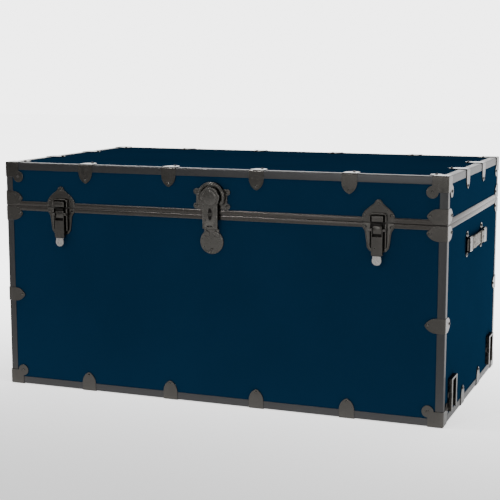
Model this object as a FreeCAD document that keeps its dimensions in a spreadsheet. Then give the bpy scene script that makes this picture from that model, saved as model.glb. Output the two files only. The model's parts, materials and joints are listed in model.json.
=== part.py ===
"""Steamer trunk: plywood case and lid, steel trim, draw bolts, lock, stays, strap handles."""
import FreeCAD, Part
import os
import re

import Sketcher
from FreeCAD import Rotation, Vector

# ---------------------------------------------------------------- driving sizes
# Alias, size in millimetres (angles in degrees), what it is.
SIZES = [
    ("panel_length", 910.0, "over the outside of the end panels, X"),
    ("panel_width", 510.0, "over the outside of the front and back panels, Y"),
    ("panel_height", 458.6, "underside of the bottom panel to top of the lid panel"),
    ("panel_base", 2.2, "height of the bottom panel above the floor"),
    ("panel_thick", 9.5, "plywood"),
    ("lining_thick", 0.8, "paper-faced board lining"),
    ("case_shift", 1.9, "centre of the case behind the origin, which is under the whole box"),
    ("seam_height", 374.0, "top of the case rim above the floor"),
    ("seam_gap", 0.3, "between the case rim and the lid rim"),
    # steel strips
    ("trim_thick", 1.0, "edge trim"),
    ("trim_leg", 14.0, "width of each leg of the edge trim, past the panel corner"),
    ("rim_leg", 9.5, "height of the outside leg of the rim valances"),
    ("tongue_inset", 11.0, "outside of the case tongue from the panel's outside"),
    ("tongue_rise", 7.0, "tongue above the seam"),
    ("lid_leg_inset", 9.5, "outside of the lid's inner leg from the panel's outside"),
    ("lid_leg_rise", 8.0, "top of the lid's inner leg above the seam"),
    # stamped corner hardware
    ("stamp_out", 2.2, "outside of a stamped piece from the panel face"),
    ("cap_reach", 28.0, "corner cap along each edge"),
    ("cap_lobe_radius", 11.5, "rounded lobe of a corner cap"),
    ("cap_lobe_inset", 27.5, "lobe centre from both edges"),
    ("clamp_half", 15.0, "half width of an edge clamp"),
    ("clamp_base", 15.0, "edge to the start of the pointed lobe"),
    ("clamp_lobe", 22.0, "length of the pointed lobe"),
    ("long_clamp_near", 91.0, "inner clamps from the middle of a long edge"),
    ("long_clamp_far", 273.0, "outer clamps from the middle of a long edge"),
    ("end_clamp_place", 80.0, "clamps from the middle of a short edge"),
    ("wrap_half", 14.0, "half height of a clamp round an upright edge"),
    ("post_clamp_height", 190.0, "middle of the upright edge clamps above the floor"),
    ("rim_clamp_drop", 15.6, "middle of a rim clamp from the seam"),
    # rivets
    ("rivet_radius", 2.9, "rivet head"),
    ("rivet_crown", 1.5, "flat on top of a rivet head"),
    ("rivet_rise", 1.2, "height of a rivet head"),
    ("clamp_rivet_inset", 30.5, "rivet of a pointed lobe from the edge"),
    # hinges
    ("hinge_out", 5.0, "hinge axis behind the back panel"),
    ("hinge_half", 30.0, "half width of a hinge"),
    ("hinge_place", 310.0, "outer hinges from the middle"),
    ("hinge_leaf", 34.0, "leaf away from the axis"),
    ("leaf_out", 2.5, "outside of a hinge leaf from the panel"),
    ("knuckle_radius", 3.7, "hinge knuckle"),
    ("knuckle_half", 10.0, "half length of the lid's middle knuckle"),
    ("knuckle_gap", 0.2, "between neighbouring knuckles"),
    ("leaf_start", 5.0, "plain edge of a hinge leaf from the axis"),
    ("tab_start", 0.5, "knuckle tab from the axis"),
    ("hinge_rivet_near", 14.0, "inner hinge rivets from the axis"),
    ("hinge_rivet_far", 27.0, "outer hinge rivets from the axis"),
    ("hinge_rivet_place", 20.0, "hinge rivets from the middle of a hinge"),
    ("hinge_pin_radius", 2.0, "hinge pin"),
    ("turn_gap", 0.1, "radial play of a turning fit"),
    ("overrun", 1.0, "cutting shapes past the metal they cut"),
    # draw bolts
    ("bolt_place", 329.0, "draw bolts from the middle"),
    ("plate_half", 30.5, "half width of the draw bolt plates at the seam"),
    ("plate_gap", 0.6, "catch plate and base plate from the seam"),
    ("ear_side_rise", 14.0, "end of the catch plate's straight side above the seam"),
    ("ear_half", 25.0, "half width above an ear"),
    ("ear_rise", 22.0, "height of the shoulder above an ear"),
    ("crown_half", 9.5, "half width under the crown lobe"),
    ("crown_rise", 34.5, "start of the crown lobe above the seam"),
    ("crown_radius", 8.0, "crown lobe"),
    ("foot_side_drop", 8.0, "end of the base plate's straight side below the seam"),
    ("foot_ear_drop", 17.0, "shoulder under a base ear below the seam"),
    ("foot_waist_half", 21.0, "half width of the base plate's waist"),
    ("foot_waist_drop", 46.0, "end of the waist below the seam"),
    ("foot_corner_half", 16.0, "half width at the foot's corner"),
    ("foot_corner_drop", 52.5, "the foot's corner below the seam"),
    ("foot_half", 9.0, "half width of the foot"),
    ("foot_drop", 55.0, "foot of the base plate below the seam"),
    ("wall_inside", 14.0, "inside of a channel wall from the middle"),
    ("wall_outside", 16.0, "outside of a channel wall from the middle"),
    ("wall_out", 6.5, "channel wall from the panel"),
    ("wall_top_rise", 17.0, "top of the catch's channel walls above the seam"),
    ("bolt_rivet_place", 25.0, "side rivets from the middle of a draw bolt"),
    ("foot_rivet_drop", 50.0, "foot rivet below the seam"),
    ("nose_half", 11.0, "half width of the catch nose"),
    ("nose_low", 1.8, "underside of the nose above the seam"),
    ("nose_high", 13.0, "top of the nose above the seam"),
    ("nose_out", 11.5, "nose from the panel"),
    ("lever_pivot_drop", 13.0, "lever axis below the seam"),
    ("link_pivot_drop", 21.0, "link axis below the seam"),
    ("pivot_out", 8.0, "draw bolt axes from the panel"),
    ("lever_half", 10.5, "half width of the lever"),
    ("lever_skin", 1.3, "thickness of the lever"),
    ("lever_out", 10.5, "outside of the lever from the panel"),
    ("lever_in", 4.5, "inner edge of the lever's sides from the panel"),
    ("lever_top_drop", 25.5, "top of the lever's face below the seam"),
    ("lever_foot_drop", 60.0, "foot of the lever's face below the seam"),
    ("tab_radius", 9.0, "thumb tab"),
    ("tab_drop", 69.0, "middle of the thumb tab below the seam"),
    ("tab_neck", 8.0, "half width of the thumb tab's neck"),
    ("link_half", 8.8, "half width of the link"),
    ("link_thick", 2.4, "thickness of the link"),
    ("link_top_drop", 1.0, "top of the link below the seam"),
    ("pivot_radius", 1.8, "lever pivot stub"),
    ("pivot_boss", 3.0, "boss round a lever pivot stub"),
    ("lever_eye", 3.5, "lever's eye round its pivot"),
    ("lever_gap", 0.5, "between the lever's side and the pivot boss"),
    ("link_eye", 2.4, "link's eye round its pin"),
    ("link_pin_radius", 1.4, "link pin"),
    # lock
    ("lock_axis_height", 350.0, "hasp hinge above the floor"),
    ("lock_axis_out", 8.0, "hasp hinge from the panel"),
    ("lock_knuckle", 3.2, "hasp hinge knuckle radius"),
    ("lock_pin_radius", 1.5, "hasp hinge pin"),
    ("middle_knuckle_half", 7.0, "half length of the foot plate's knuckle"),
    ("plate_top_drop", 4.0, "top of the foot plate below the hinge axis"),
    ("step_drop", 9.0, "foot of the knuckle's step below the hinge axis"),
    ("step_out", 4.0, "face of that step from the panel"),
    ("web_drop", 2.6, "underside of the knuckle's web below the hinge axis"),
    ("web_in", 3.0, "back of that web from the panel"),
    ("bar_rise", 3.8, "foot of the hasp's bar above the hinge axis"),
    ("neck_rise", 4.0, "top of the hasp's knuckle necks above the hinge axis"),
    ("hasp_half", 15.5, "half width of the hasp"),
    ("hasp_in", 8.5, "back of the hasp from the panel"),
    ("hasp_out", 11.0, "face of the hasp from the panel"),
    ("head_radius", 19.8, "hasp head"),
    ("head_out", 12.5, "face of the hasp head from the panel"),
    ("head_height", 408.0, "middle of the hasp head above the floor"),
    ("plug_radius", 5.8, "key plug"),
    ("plug_height", 376.0, "key plug above the floor"),
    ("plug_out", 11.6, "face of the key plug from the panel"),
    ("keyhole_half", 0.8, "half width of the keyhole"),
    ("keyhole_reach", 4.0, "keyhole from the middle of the plug"),
    ("keyhole_in", 8.0, "bottom of the keyhole from the panel"),
    ("lock_body_half", 12.0, "half width of the lock body behind the hasp"),
    ("lock_body_in", 5.0, "back of the lock body from the panel"),
    ("lock_body_low", 366.0, "foot of the lock body above the floor"),
    ("lock_body_high", 398.0, "top of the lock body above the floor"),
    ("bolt_height", 405.0, "middle of the lock bolt above the floor"),
    ("bolt_half_height", 3.0, "half height of the lock bolt"),
    ("bolt_in", 4.6, "back of the lock bolt from the panel"),
    ("bolt_out", 6.6, "face of the lock bolt from the panel"),
    ("bolt_tip", 8.3, "tip of the drawn-back lock bolt from the middle"),
    ("bolt_tail", 7.0, "tail of the lock bolt from the middle"),
    ("guide_left", 10.0, "bolt guides from the middle, left end"),
    ("guide_right", 4.0, "bolt guides from the middle, right end"),
    ("guide_wall", 2.0, "height of the upper bolt guide"),
    ("bolt_play", 0.2, "between the lock bolt and its guides"),
    ("keeper_half", 32.0, "half width of the keeper plate"),
    ("keeper_low", 384.6, "foot of the keeper plate above the floor"),
    ("keeper_high", 424.0, "top of the keeper plate above the floor"),
    ("keeper_ear", 6.0, "round ears of the keeper plate"),
    ("ring_opening", 10.0, "opening at the foot of the keeper ring, above the plate's foot"),
    ("ring_outside", 28.5, "keeper ring, outside radius"),
    ("ring_inside", 22.0, "keeper ring, inside radius"),
    ("ring_out", 8.0, "face of the keeper ring from the panel"),
    ("ring_height", 409.0, "middle of the keeper ring above the floor"),
    ("staple_near", 9.2, "staple from the middle, inside"),
    ("staple_far", 11.4, "staple from the middle, outside"),
    ("staple_gap", 0.6, "round the staple inside the lock"),
    ("staple_bar", 3.4, "top of the staple above the bolt"),
    ("staple_play", 0.4, "round the bolt in the staple"),
    ("foot_plate_out", 2.6, "face of the lock's foot plate from the panel"),
    ("foot_plate_radius", 24.0, "round foot of the lock's foot plate"),
    ("foot_plate_height", 322.0, "middle of that round foot above the floor"),
    ("foot_screw_drop", 15.0, "foot plate rivet below that middle"),
    ("boss_radius", 5.0, "round bosses of the foot plate"),
    ("boss_place", 10.0, "bosses from the middle"),
    ("boss_height", 337.0, "bosses above the floor"),
    ("boss_out", 4.4, "face of a boss from the panel"),
    # handles
    ("handle_height", 316.0, "middle of the handles above the floor"),
    ("loop_place", 72.0, "handle loops from the middle of the end"),
    ("loop_half", 13.25, "half width of a handle loop"),
    ("loop_metal", 1.5, "metal of a handle loop"),
    ("loop_out", 10.0, "handle loop from the panel"),
    ("loop_half_height", 15.0, "half height of the loop's bridge"),
    ("loop_foot_half", 25.0, "half height over the loop's feet"),
    ("strap_half_height", 12.0, "half height of the handle strap"),
    ("strap_in", 4.3, "back of the strap from the panel"),
    ("strap_out", 8.3, "face of the strap from the panel"),
    ("grip_half", 56.6, "half length of the strap that lifts"),
    ("strap_seat", 57.0, "start of the fixed strap end"),
    ("strap_fold", 62.0, "end of the layer folded under the strap"),
    ("strap_tip", 84.0, "tip of the strap, under its loop"),
    ("fold_in", 0.2, "back of the folded layer from the panel"),
    ("band_near", 29.0, "inner end of the riveted outer layer"),
    ("band_far", 56.0, "outer end of the riveted outer layer"),
    ("band_out", 10.6, "face of that layer from the panel"),
    ("band_rivet", 43.0, "its rivet from the middle of the handle"),
    ("loop_rivet_rise", 20.0, "loop rivets from the middle height of a handle"),
    # wheel brackets
    ("bracket_place", 191.5, "wheel brackets from the middle of the end"),
    ("bracket_half", 24.0, "half width of a wheel bracket"),
    ("bracket_low", 22.0, "foot of a wheel bracket above the floor"),
    ("bracket_high", 84.0, "top of a wheel bracket above the floor"),
    ("bracket_out", 8.3, "wheel bracket from the panel"),
    ("bracket_metal", 1.5, "metal of a wheel bracket"),
    ("rail_width", 4.5, "side rail of a wheel bracket"),
    ("lip_width", 9.5, "rail and its lip"),
    ("bracket_cap", 4.0, "closed top of a wheel bracket"),
    ("notch_low", 26.0, "foot of the side notches above the bracket's foot"),
    ("notch_high", 36.0, "top of the side notches above the bracket's foot"),
    ("bracket_rivet_low", 12.0, "lower rivet above the bracket's foot"),
    ("bracket_rivet_high", 50.0, "upper rivet above the bracket's foot"),
    # lid stays
    ("stay_pivot_ahead", 164.0, "lid pivot ahead of the hinge axis"),
    ("stay_pivot_rise", 44.8, "lid pivot above the seam"),
    ("stay_pin_ahead", 154.0, "guide pin ahead of the hinge axis"),
    ("stay_pin_drop", 72.0, "guide pin below the seam"),
    ("stay_inside", 438.5, "inner face of a stay arm from the middle"),
    ("stay_outside", 441.0, "outer face of a stay arm from the middle"),
    ("stay_half", 8.0, "half width of a stay arm"),
    ("stay_length", 332.0, "stay arm, pivot to slot end"),
    ("slot_start", 110.0, "slot from the pivot"),
    ("stay_pin_radius", 3.0, "stay pivots"),
    ("slot_half", 3.4, "half width of the slot"),
    ("stay_plate_half", 16.0, "half size of a stay bracket plate"),
    ("stay_plate", 1.5, "thickness of a stay bracket plate"),
    ("stay_collar", 5.5, "collar and head beside a stay arm"),
    ("stay_gap", 0.3, "play beside a stay arm"),
    ("stay_head", 2.0, "outside of a stub's head from the arm"),
]
ALIASES = {alias for alias, _, _ in SIZES}

doc = FreeCAD.newDocument("SteamerTrunk")
sheet = doc.addObject("Spreadsheet::Sheet", "Sizes")
for row, (alias, size, note) in enumerate(SIZES, start=1):
    sheet.set(f"A{row}", str(size))
    sheet.setAlias(f"A{row}", alias)
    sheet.set(f"B{row}", note)
doc.recompute()

# Faces of the panelled box and the heights that most pieces refer to.
FRONT = "(case_shift - panel_width / 2)"
BACK = "(case_shift + panel_width / 2)"
RIGHT = "(panel_length / 2)"
LEFT = "(-panel_length / 2)"
UNDER = "panel_base"
TOP = "(panel_base + panel_height)"
MID_HEIGHT = "(panel_base + panel_height / 2)"
SEAM = "seam_height"
LID_RIM = "(seam_height + seam_gap)"
CASE_PANEL_TOP = "(seam_height - trim_thick)"
LID_PANEL_LOW = "(seam_height + seam_gap + trim_thick)"
HINGE_Y = "(case_shift + panel_width / 2 + hinge_out)"

# Each face: which axis runs across it, which up it, its outward axis and way, and its place.
FACES = {
    "front": ("x", "z", "y", -1, FRONT),
    "back": ("x", "z", "y", 1, BACK),
    "left": ("y", "z", "x", -1, LEFT),
    "right": ("y", "z", "x", 1, RIGHT),
    "top": ("x", "y", "z", 1, TOP),
    "under": ("x", "y", "z", -1, UNDER),
}
TURN_FROM_Z = {"x": Rotation(Vector(0, 1, 0), 90), "y": Rotation(Vector(1, 0, 0), -90), "z": Rotation()}


# ---------------------------------------------------------------- helpers
def bind(expression):
    """The expression with every alias written as a cell of the sheet."""
    return re.sub(r"[a-z_]+", lambda word: "Sizes." + word.group() if word.group() in ALIASES
                  else word.group(), expression)


def value(expression):
    return float(sheet.evalExpression(bind(expression)))


def block(x, y, z):
    """A box between two X, two Y and two Z expressions."""
    box = doc.addObject("Part::Box", "Block")
    for axis, side, (low, high) in zip("xyz", ("Length", "Width", "Height"), (x, y, z)):
        box.setExpression(side, bind(f"({high}) - ({low})"))
        box.setExpression(f"Placement.Base.{axis}", bind(low))
    return box


def rod(axis, radius, x, y, z):
    """A cylinder along one axis: that axis has a pair of expressions, the others one each."""
    cylinder = doc.addObject("Part::Cylinder", "Rod")
    cylinder.Placement.Rotation = TURN_FROM_Z[axis]
    place = dict(zip("xyz", (x, y, z)))
    low, high = place[axis]
    place[axis] = low
    cylinder.setExpression("Radius", bind(radius))
    cylinder.setExpression("Height", bind(f"({high}) - ({low})"))
    for name, expression in place.items():
        cylinder.setExpression(f"Placement.Base.{name}", bind(expression))
    return cylinder


def off_face(face, depth):
    """The coordinate that lies depth outside a face."""
    _, _, _, way, place = FACES[face]
    return f"{place} + ({depth})" if way > 0 else f"{place} - ({depth})"


def face_span(face, depths):
    low, high = (off_face(face, depth) for depth in depths)
    return (low, high) if FACES[face][3] > 0 else (high, low)


def face_block(face, across, up, depths):
    """A box on a face: spans across it, up it and outwards from it."""
    across_axis, up_axis, out_axis, _, _ = FACES[face]
    spans = {across_axis: across, up_axis: up, out_axis: face_span(face, depths)}
    return block(spans["x"], spans["y"], spans["z"])


def face_disc(face, radius, across, up, depths):
    """A cylinder standing on a face."""
    across_axis, up_axis, out_axis, _, _ = FACES[face]
    place = {across_axis: across, up_axis: up, out_axis: face_span(face, depths)}
    return rod(out_axis, radius, place["x"], place["y"], place["z"])


def fuse(pieces):
    result = doc.addObject("Part::MultiFuse", "Fused")
    result.Shapes = pieces
    return result


def common(pieces):
    result = doc.addObject("Part::MultiCommon", "Shared")
    result.Shapes = pieces
    return result


def cut(base, tool):
    result = doc.addObject("Part::Cut", "Trimmed")
    result.Base = base
    result.Tool = tool
    return result


def cut_around(piece, neighbours):
    """The piece with the room of each neighbour cut away."""
    for neighbour in neighbours:
        piece = cut(piece, neighbour)
    return piece


def group(pieces):
    result = doc.addObject("Part::Compound", "Group")
    result.Links = pieces
    return result


def mirrored(piece, axis):
    """The piece mirrored in the box's middle plane across an axis."""
    result = doc.addObject("Part::Mirroring", "Mirrored")
    result.Source = piece
    result.Normal = Vector(*(1.0 if axis == name else 0.0 for name in "xyz"))
    middle = {"x": "0", "y": "case_shift", "z": MID_HEIGHT}[axis]
    result.setExpression(f"Base.{axis}", bind(middle))
    return result


def moved(piece, x="0", y="0", z="0"):
    """A linked copy of the piece, moved by three expressions."""
    link = doc.addObject("App::Link", "Copy")
    link.LinkedObject = piece
    link.LinkTransform = True
    for axis, expression in zip("xyz", (x, y, z)):
        link.setExpression(f"Placement.Base.{axis}", bind(expression))
    return link


def on_four_corners(piece):
    """The piece and its mirror images at the other three upright edges."""
    across = mirrored(piece, "x")
    return [piece, across, mirrored(piece, "y"), mirrored(across, "y")]


def pad(plane, outline, length, place):
    """A body padded from a closed outline of straight runs on one of its origin planes."""
    body = doc.addObject("PartDesign::Body", "Body")
    sketch = body.newObject("Sketcher::SketchObject", "Outline")
    support = next(item for item in body.Origin.OriginFeatures if item.Role == plane)
    sketch.AttachmentSupport = [(support, "")]
    sketch.MapMode = "FlatFace"
    corners = [Vector(value(across), value(up), 0) for across, up in outline]
    count = len(corners)
    for index, corner in enumerate(corners):
        sketch.addGeometry(Part.LineSegment(corner, corners[(index + 1) % count]), False)
    for index in range(count):
        sketch.addConstraint(Sketcher.Constraint("Coincident", index, 2, (index + 1) % count, 1))
    for index, pair in enumerate(outline):
        for kind, expression, number in zip(("DistanceX", "DistanceY"), pair, corners[index]):
            size = sketch.addConstraint(Sketcher.Constraint(kind, -1, 1, index, 1, number))
            sketch.setExpression(f"Constraints[{size}]", bind(expression))
    feature = body.newObject("PartDesign::Pad", "Pad")
    feature.Profile = sketch
    feature.setExpression("Length", bind(length))
    for axis, expression in zip("xyz", place):
        body.setExpression(f"Placement.Base.{axis}", bind(expression))
    return body


def symmetric(half_outline):
    """A closed outline from its right half, listed from top to bottom."""
    left_half = [(f"-({across})", up) for across, up in reversed(half_outline)]
    return half_outline + left_half


def rivet(face, across, up, depth="stamp_out"):
    """A rivet head standing depth outside a face."""
    across_axis, up_axis, out_axis, way, _ = FACES[face]
    head = doc.addObject("Part::Cone", "Rivet")
    turn = TURN_FROM_Z[out_axis]
    if way < 0:
        turn = turn * Rotation(Vector(1, 0, 0), 180)
    head.Placement.Rotation = turn
    head.setExpression("Radius1", bind("rivet_radius"))
    head.setExpression("Radius2", bind("rivet_crown"))
    head.setExpression("Height", bind("rivet_rise"))
    place = {across_axis: across, up_axis: up, out_axis: off_face(face, depth)}
    for axis, expression in place.items():
        head.setExpression(f"Placement.Base.{axis}", bind(expression))
    return head


nodes = {}


def sub_part(name, piece):
    """Name a finished piece; its name is also its file's name."""
    piece.Label = name
    nodes[name] = piece
    return piece


# ---------------------------------------------------------------- panels and linings
def wall_panels(prefix, low, high):
    """Front, back, left and right panels between two heights; the ends fit between the others."""
    across = (LEFT, RIGHT)
    along = (f"{FRONT} + panel_thick", f"{BACK} - panel_thick")
    names = {"front": "front_panel", "back": "back_panel"}
    for face, name in names.items():
        sub_part(prefix + name, face_block(face, across, (low, high), ("-panel_thick", "0")))
    for face, name in {"left": "left_end_panel", "right": "right_end_panel"}.items():
        sub_part(prefix + name, face_block(face, along, (low, high), ("-panel_thick", "0")))


def inside(inset):
    """Spans in X and Y of a rectangle inset from the panels' outside."""
    return ((f"{LEFT} + {inset}", f"{RIGHT} - ({inset})"),
            (f"{FRONT} + {inset}", f"{BACK} - ({inset})"))


def lining(low, high, hollow_low, hollow_high):
    """A thin tray against the inside of the panels."""
    outer = block(*inside("panel_thick"), (low, high))
    inner = block(*inside("panel_thick + lining_thick"), (hollow_low, hollow_high))
    return cut(outer, inner)


wall_panels("case_", f"{UNDER} + panel_thick", CASE_PANEL_TOP)
wall_panels("lid_", LID_PANEL_LOW, f"{TOP} - panel_thick")
sub_part("case_bottom_panel", face_block("under", (LEFT, RIGHT), (FRONT, BACK), ("-panel_thick", "0")))
sub_part("lid_top_panel", face_block("top", (LEFT, RIGHT), (FRONT, BACK), ("-panel_thick", "0")))
sub_part("case_lining", lining(
    f"{UNDER} + panel_thick", CASE_PANEL_TOP, f"{UNDER} + panel_thick + lining_thick", SEAM))
sub_part("lid_lining", lining(
    f"{SEAM} + lid_leg_rise", f"{TOP} - panel_thick", SEAM, f"{TOP} - panel_thick - lining_thick"))


# ---------------------------------------------------------------- rims, trim and posts
def rim_length(face, legs):
    """One straight length of rim valance; legs are (inset in, inset out, low, high) boxes.

    The front and back lengths run through; the end lengths stop against them.
    """
    across_axis = FACES[face][0]
    pieces = []
    for outer_inset, inner_inset, low, high in legs:
        stop = outer_inset if across_axis == "x" else inner_inset
        if across_axis == "x":
            across = (f"{LEFT} + ({stop})", f"{RIGHT} - ({stop})")
        else:
            across = (f"{FRONT} + ({stop})", f"{BACK} - ({stop})")
        pieces.append(face_block(face, across, (low, high), (f"-({inner_inset})", f"-({outer_inset})")))
    return fuse(pieces)


SIDES = ("front", "back", "left", "right")
CASE_RIM_LEGS = [
    ("-trim_thick", "0", f"{SEAM} - rim_leg", SEAM),
    ("-trim_thick", "tongue_inset + trim_thick", f"{SEAM} - trim_thick", SEAM),
    ("tongue_inset", "tongue_inset + trim_thick", f"{SEAM} - trim_thick", f"{SEAM} + tongue_rise"),
]
LID_RIM_LEGS = [
    ("-trim_thick", "0", LID_RIM, f"{LID_RIM} + rim_leg"),
    ("-trim_thick", "lid_leg_inset + trim_thick", LID_RIM, f"{LID_RIM} + trim_thick"),
    ("lid_leg_inset", "lid_leg_inset + trim_thick", LID_RIM, f"{SEAM} + lid_leg_rise"),
]
case_rim = {face: rim_length(face, CASE_RIM_LEGS) for face in SIDES}
lid_rim = {face: rim_length(face, LID_RIM_LEGS) for face in SIDES}
sub_part("case_rim_valance", group(list(case_rim.values())))
sub_part("lid_rim_valance", group(list(lid_rim.values())))


def edge_trim(face, level):
    """An angle strip over the edge between a wall and the top or the under face."""
    legs = ("-trim_leg", "trim_thick")
    skin = ("0", "trim_thick")
    edge = face_span(level, legs)
    if face in ("front", "back"):
        through = (f"{LEFT} - trim_thick", f"{RIGHT} + trim_thick")
        upright = face_block(face, through, edge, skin)
        flat = face_block(level, (LEFT, RIGHT), face_span(face, legs), skin)
    else:
        between_skins = (FRONT, BACK)
        between_legs = (f"{FRONT} + trim_leg", f"{BACK} - trim_leg")
        upright = face_block(face, between_skins, edge, skin)
        flat = face_block(level, face_span(face, legs), between_legs, skin)
    return fuse([upright, flat])


def post(low, high):
    """The angle strip up the right front edge, between two heights."""
    across = face_span("right", ("-trim_leg", "trim_thick"))
    along = face_span("front", ("-trim_leg", "trim_thick"))
    return cut(block(across, along, (low, high)),
               block((f"{RIGHT} - trim_leg - overrun", RIGHT), (FRONT, f"{FRONT} + trim_leg + overrun"),
                     (f"{low} - overrun", f"{high} + overrun")))


lid_trim = {face: sub_part(f"lid_{face}_trim", edge_trim(face, "top")) for face in SIDES}
for face in SIDES:
    sub_part(f"case_{face}_trim", edge_trim(face, "under"))
case_post = post(f"{UNDER} + trim_leg", f"{SEAM} - rim_leg")
lid_post = post(f"{LID_RIM} + rim_leg", f"{TOP} - trim_leg")
sub_part("case_post_trims", group(on_four_corners(case_post)))
sub_part("lid_post_trims", group(on_four_corners(lid_post)))

STAMP = ("0", "stamp_out")


# ---------------------------------------------------------------- corner caps and clamps
def corner_cap():
    """A pressed cap over the right front top corner, with a round lobe on each face."""
    to_right = face_span("right", ("-cap_reach", "stamp_out"))
    to_front = face_span("front", ("-cap_reach", "stamp_out"))
    to_top = face_span("top", ("-cap_reach", "stamp_out"))
    lobe_x = f"{RIGHT} - cap_lobe_inset"
    lobe_y = f"{FRONT} + cap_lobe_inset"
    lobe_z = f"{TOP} - cap_lobe_inset"
    cap = fuse([
        face_block("front", to_right, to_top, STAMP),
        face_block("right", to_front, to_top, STAMP),
        face_block("top", to_right, to_front, STAMP),
        face_disc("front", "cap_lobe_radius", lobe_x, lobe_z, STAMP),
        face_disc("right", "cap_lobe_radius", lobe_y, lobe_z, STAMP),
        face_disc("top", "cap_lobe_radius", lobe_x, lobe_y, STAMP),
    ])
    return cut_around(cap, [lid_trim["front"], lid_trim["right"], lid_post])


def pointed_lobe(face, along, across_middle, half, base, way):
    """A pointed arch on a face.

    along is the face's axis that the lobe points along, 0 or 1; base is where its straight
    sides end, and way is "+" or "-".
    """
    radius = f"(({half}) * ({half}) + clamp_lobe * clamp_lobe) / (2 * ({half}))"
    discs = []
    for side in ("+", "-"):
        centre = [f"{across_middle} {side} ({radius} - ({half}))"] * 2
        centre[along] = base
        discs.append(face_disc(face, radius, centre[0], centre[1], STAMP))
    spans = [(f"{across_middle} - ({half})", f"{across_middle} + ({half})")] * 2
    far = f"{base} {way} clamp_lobe"
    spans[along] = (base, far) if way == "+" else (far, base)
    return common([*discs, face_block(face, spans[0], spans[1], STAMP)])


def edge_clamp(face, middle):
    """A clamp over the lid's top edge: a pointed lobe down the wall and one across the top."""
    half_span = (f"{middle} - clamp_half", f"{middle} + clamp_half")
    legs = ("-clamp_base", "stamp_out")
    wall = face_block(face, half_span, face_span("top", legs), STAMP)
    wall_lobe = pointed_lobe(face, 1, middle, "clamp_half", f"{TOP} - clamp_base", "-")
    inward = "+" if FACES[face][3] < 0 else "-"
    base = off_face(face, "-clamp_base")
    if FACES[face][0] == "x":
        roof = face_block("top", half_span, face_span(face, legs), STAMP)
        roof_lobe = pointed_lobe("top", 1, middle, "clamp_half", base, inward)
    else:
        roof = face_block("top", face_span(face, legs), half_span, STAMP)
        roof_lobe = pointed_lobe("top", 0, middle, "clamp_half", base, inward)
    return cut(fuse([wall, wall_lobe, roof, roof_lobe]), lid_trim[face])


def edge_clamps():
    """Four clamps on each long top edge and two on each short one."""
    front = edge_clamp("front", "0")
    end = edge_clamp("right", "case_shift")
    along = ["-long_clamp_far", "-long_clamp_near", "long_clamp_near", "long_clamp_far"]
    across = ["-end_clamp_place", "end_clamp_place"]
    return ([moved(piece, x=place) for piece in (front, mirrored(front, "y")) for place in along]
            + [moved(piece, y=place) for piece in (end, mirrored(end, "x")) for place in across])


def wrap_clamps(middle, neighbours):
    """Clamps round the four upright edges at one height."""
    up = (f"{middle} - wrap_half", f"{middle} + wrap_half")
    to_right = face_span("right", ("-clamp_base", "stamp_out"))
    to_front = face_span("front", ("-clamp_base", "stamp_out"))
    clamp = fuse([
        face_block("front", to_right, up, STAMP),
        face_block("right", to_front, up, STAMP),
        pointed_lobe("front", 0, middle, "wrap_half", f"{RIGHT} - clamp_base", "-"),
        pointed_lobe("right", 0, middle, "wrap_half", f"{FRONT} + clamp_base", "+"),
    ])
    return group(on_four_corners(cut_around(clamp, neighbours)))


lid_caps = sub_part("lid_corner_caps", group(on_four_corners(corner_cap())))
sub_part("case_corner_caps", mirrored(lid_caps, "z"))
lid_clamps = sub_part("lid_edge_clamps", group(edge_clamps()))
sub_part("case_edge_clamps", mirrored(lid_clamps, "z"))
sub_part("lid_rim_clamps", wrap_clamps(
    f"{SEAM} + rim_clamp_drop", [lid_post, lid_rim["front"], lid_rim["right"]]))
sub_part("case_rim_clamps", wrap_clamps(
    f"{SEAM} - rim_clamp_drop", [case_post, case_rim["front"], case_rim["right"]]))
sub_part("case_post_clamps", wrap_clamps("post_clamp_height", [case_post]))


# ---------------------------------------------------------------- hinges
def hinge_spots(piece):
    return [moved(piece, x="-hinge_place"), piece, moved(piece, x="hinge_place")]


def case_hinge_leaf():
    leaf_low = f"{SEAM} - hinge_leaf"
    full = ("-hinge_half", "hinge_half")
    outer_knuckle = ("knuckle_half + knuckle_gap", "hinge_half")
    depths = ("0", "leaf_out")
    plate = face_block("back", full, (leaf_low, f"{SEAM} - leaf_start"), depths)
    tab = face_block("back", outer_knuckle, (leaf_low, f"{SEAM} - tab_start"), depths)
    knuckle = rod("x", "knuckle_radius", outer_knuckle, HINGE_Y, SEAM)
    whole = fuse([plate, tab, mirrored(tab, "x"), knuckle, mirrored(knuckle, "x")])
    return cut(cut(whole, rod("x", "hinge_pin_radius", full, HINGE_Y, SEAM)), case_rim["back"])


def lid_hinge_leaf():
    leaf_high = f"{SEAM} + hinge_leaf"
    full = ("-hinge_half", "hinge_half")
    middle = ("-knuckle_half", "knuckle_half")
    depths = ("0", "leaf_out")
    plate = face_block("back", full, (f"{SEAM} + leaf_start", leaf_high), depths)
    tab = face_block("back", middle, (f"{SEAM} + tab_start", leaf_high), depths)
    knuckle = rod("x", "knuckle_radius", middle, HINGE_Y, SEAM)
    whole = fuse([plate, tab, knuckle])
    bore = rod("x", "hinge_pin_radius + turn_gap", full, HINGE_Y, SEAM)
    return cut(cut(whole, bore), lid_rim["back"])


hinge_pin = rod("x", "hinge_pin_radius", ("-hinge_half", "hinge_half"), HINGE_Y, SEAM)
sub_part("case_hinge_leaves", group(hinge_spots(case_hinge_leaf())))
sub_part("lid_hinge_leaves", group(hinge_spots(lid_hinge_leaf())))
sub_part("hinge_pins", group(hinge_spots(hinge_pin)))


# ---------------------------------------------------------------- draw bolts
def drop(alias):
    return f"{SEAM} - {alias}"


def rise(alias):
    return f"{SEAM} + {alias}"


PIVOT_Y = off_face("front", "pivot_out")


def front_plate(half_outline):
    """A plate on the front face padded outwards from the panel."""
    return pad("XZ_Plane", symmetric(half_outline), "stamp_out", ("0", FRONT, "0"))


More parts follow.
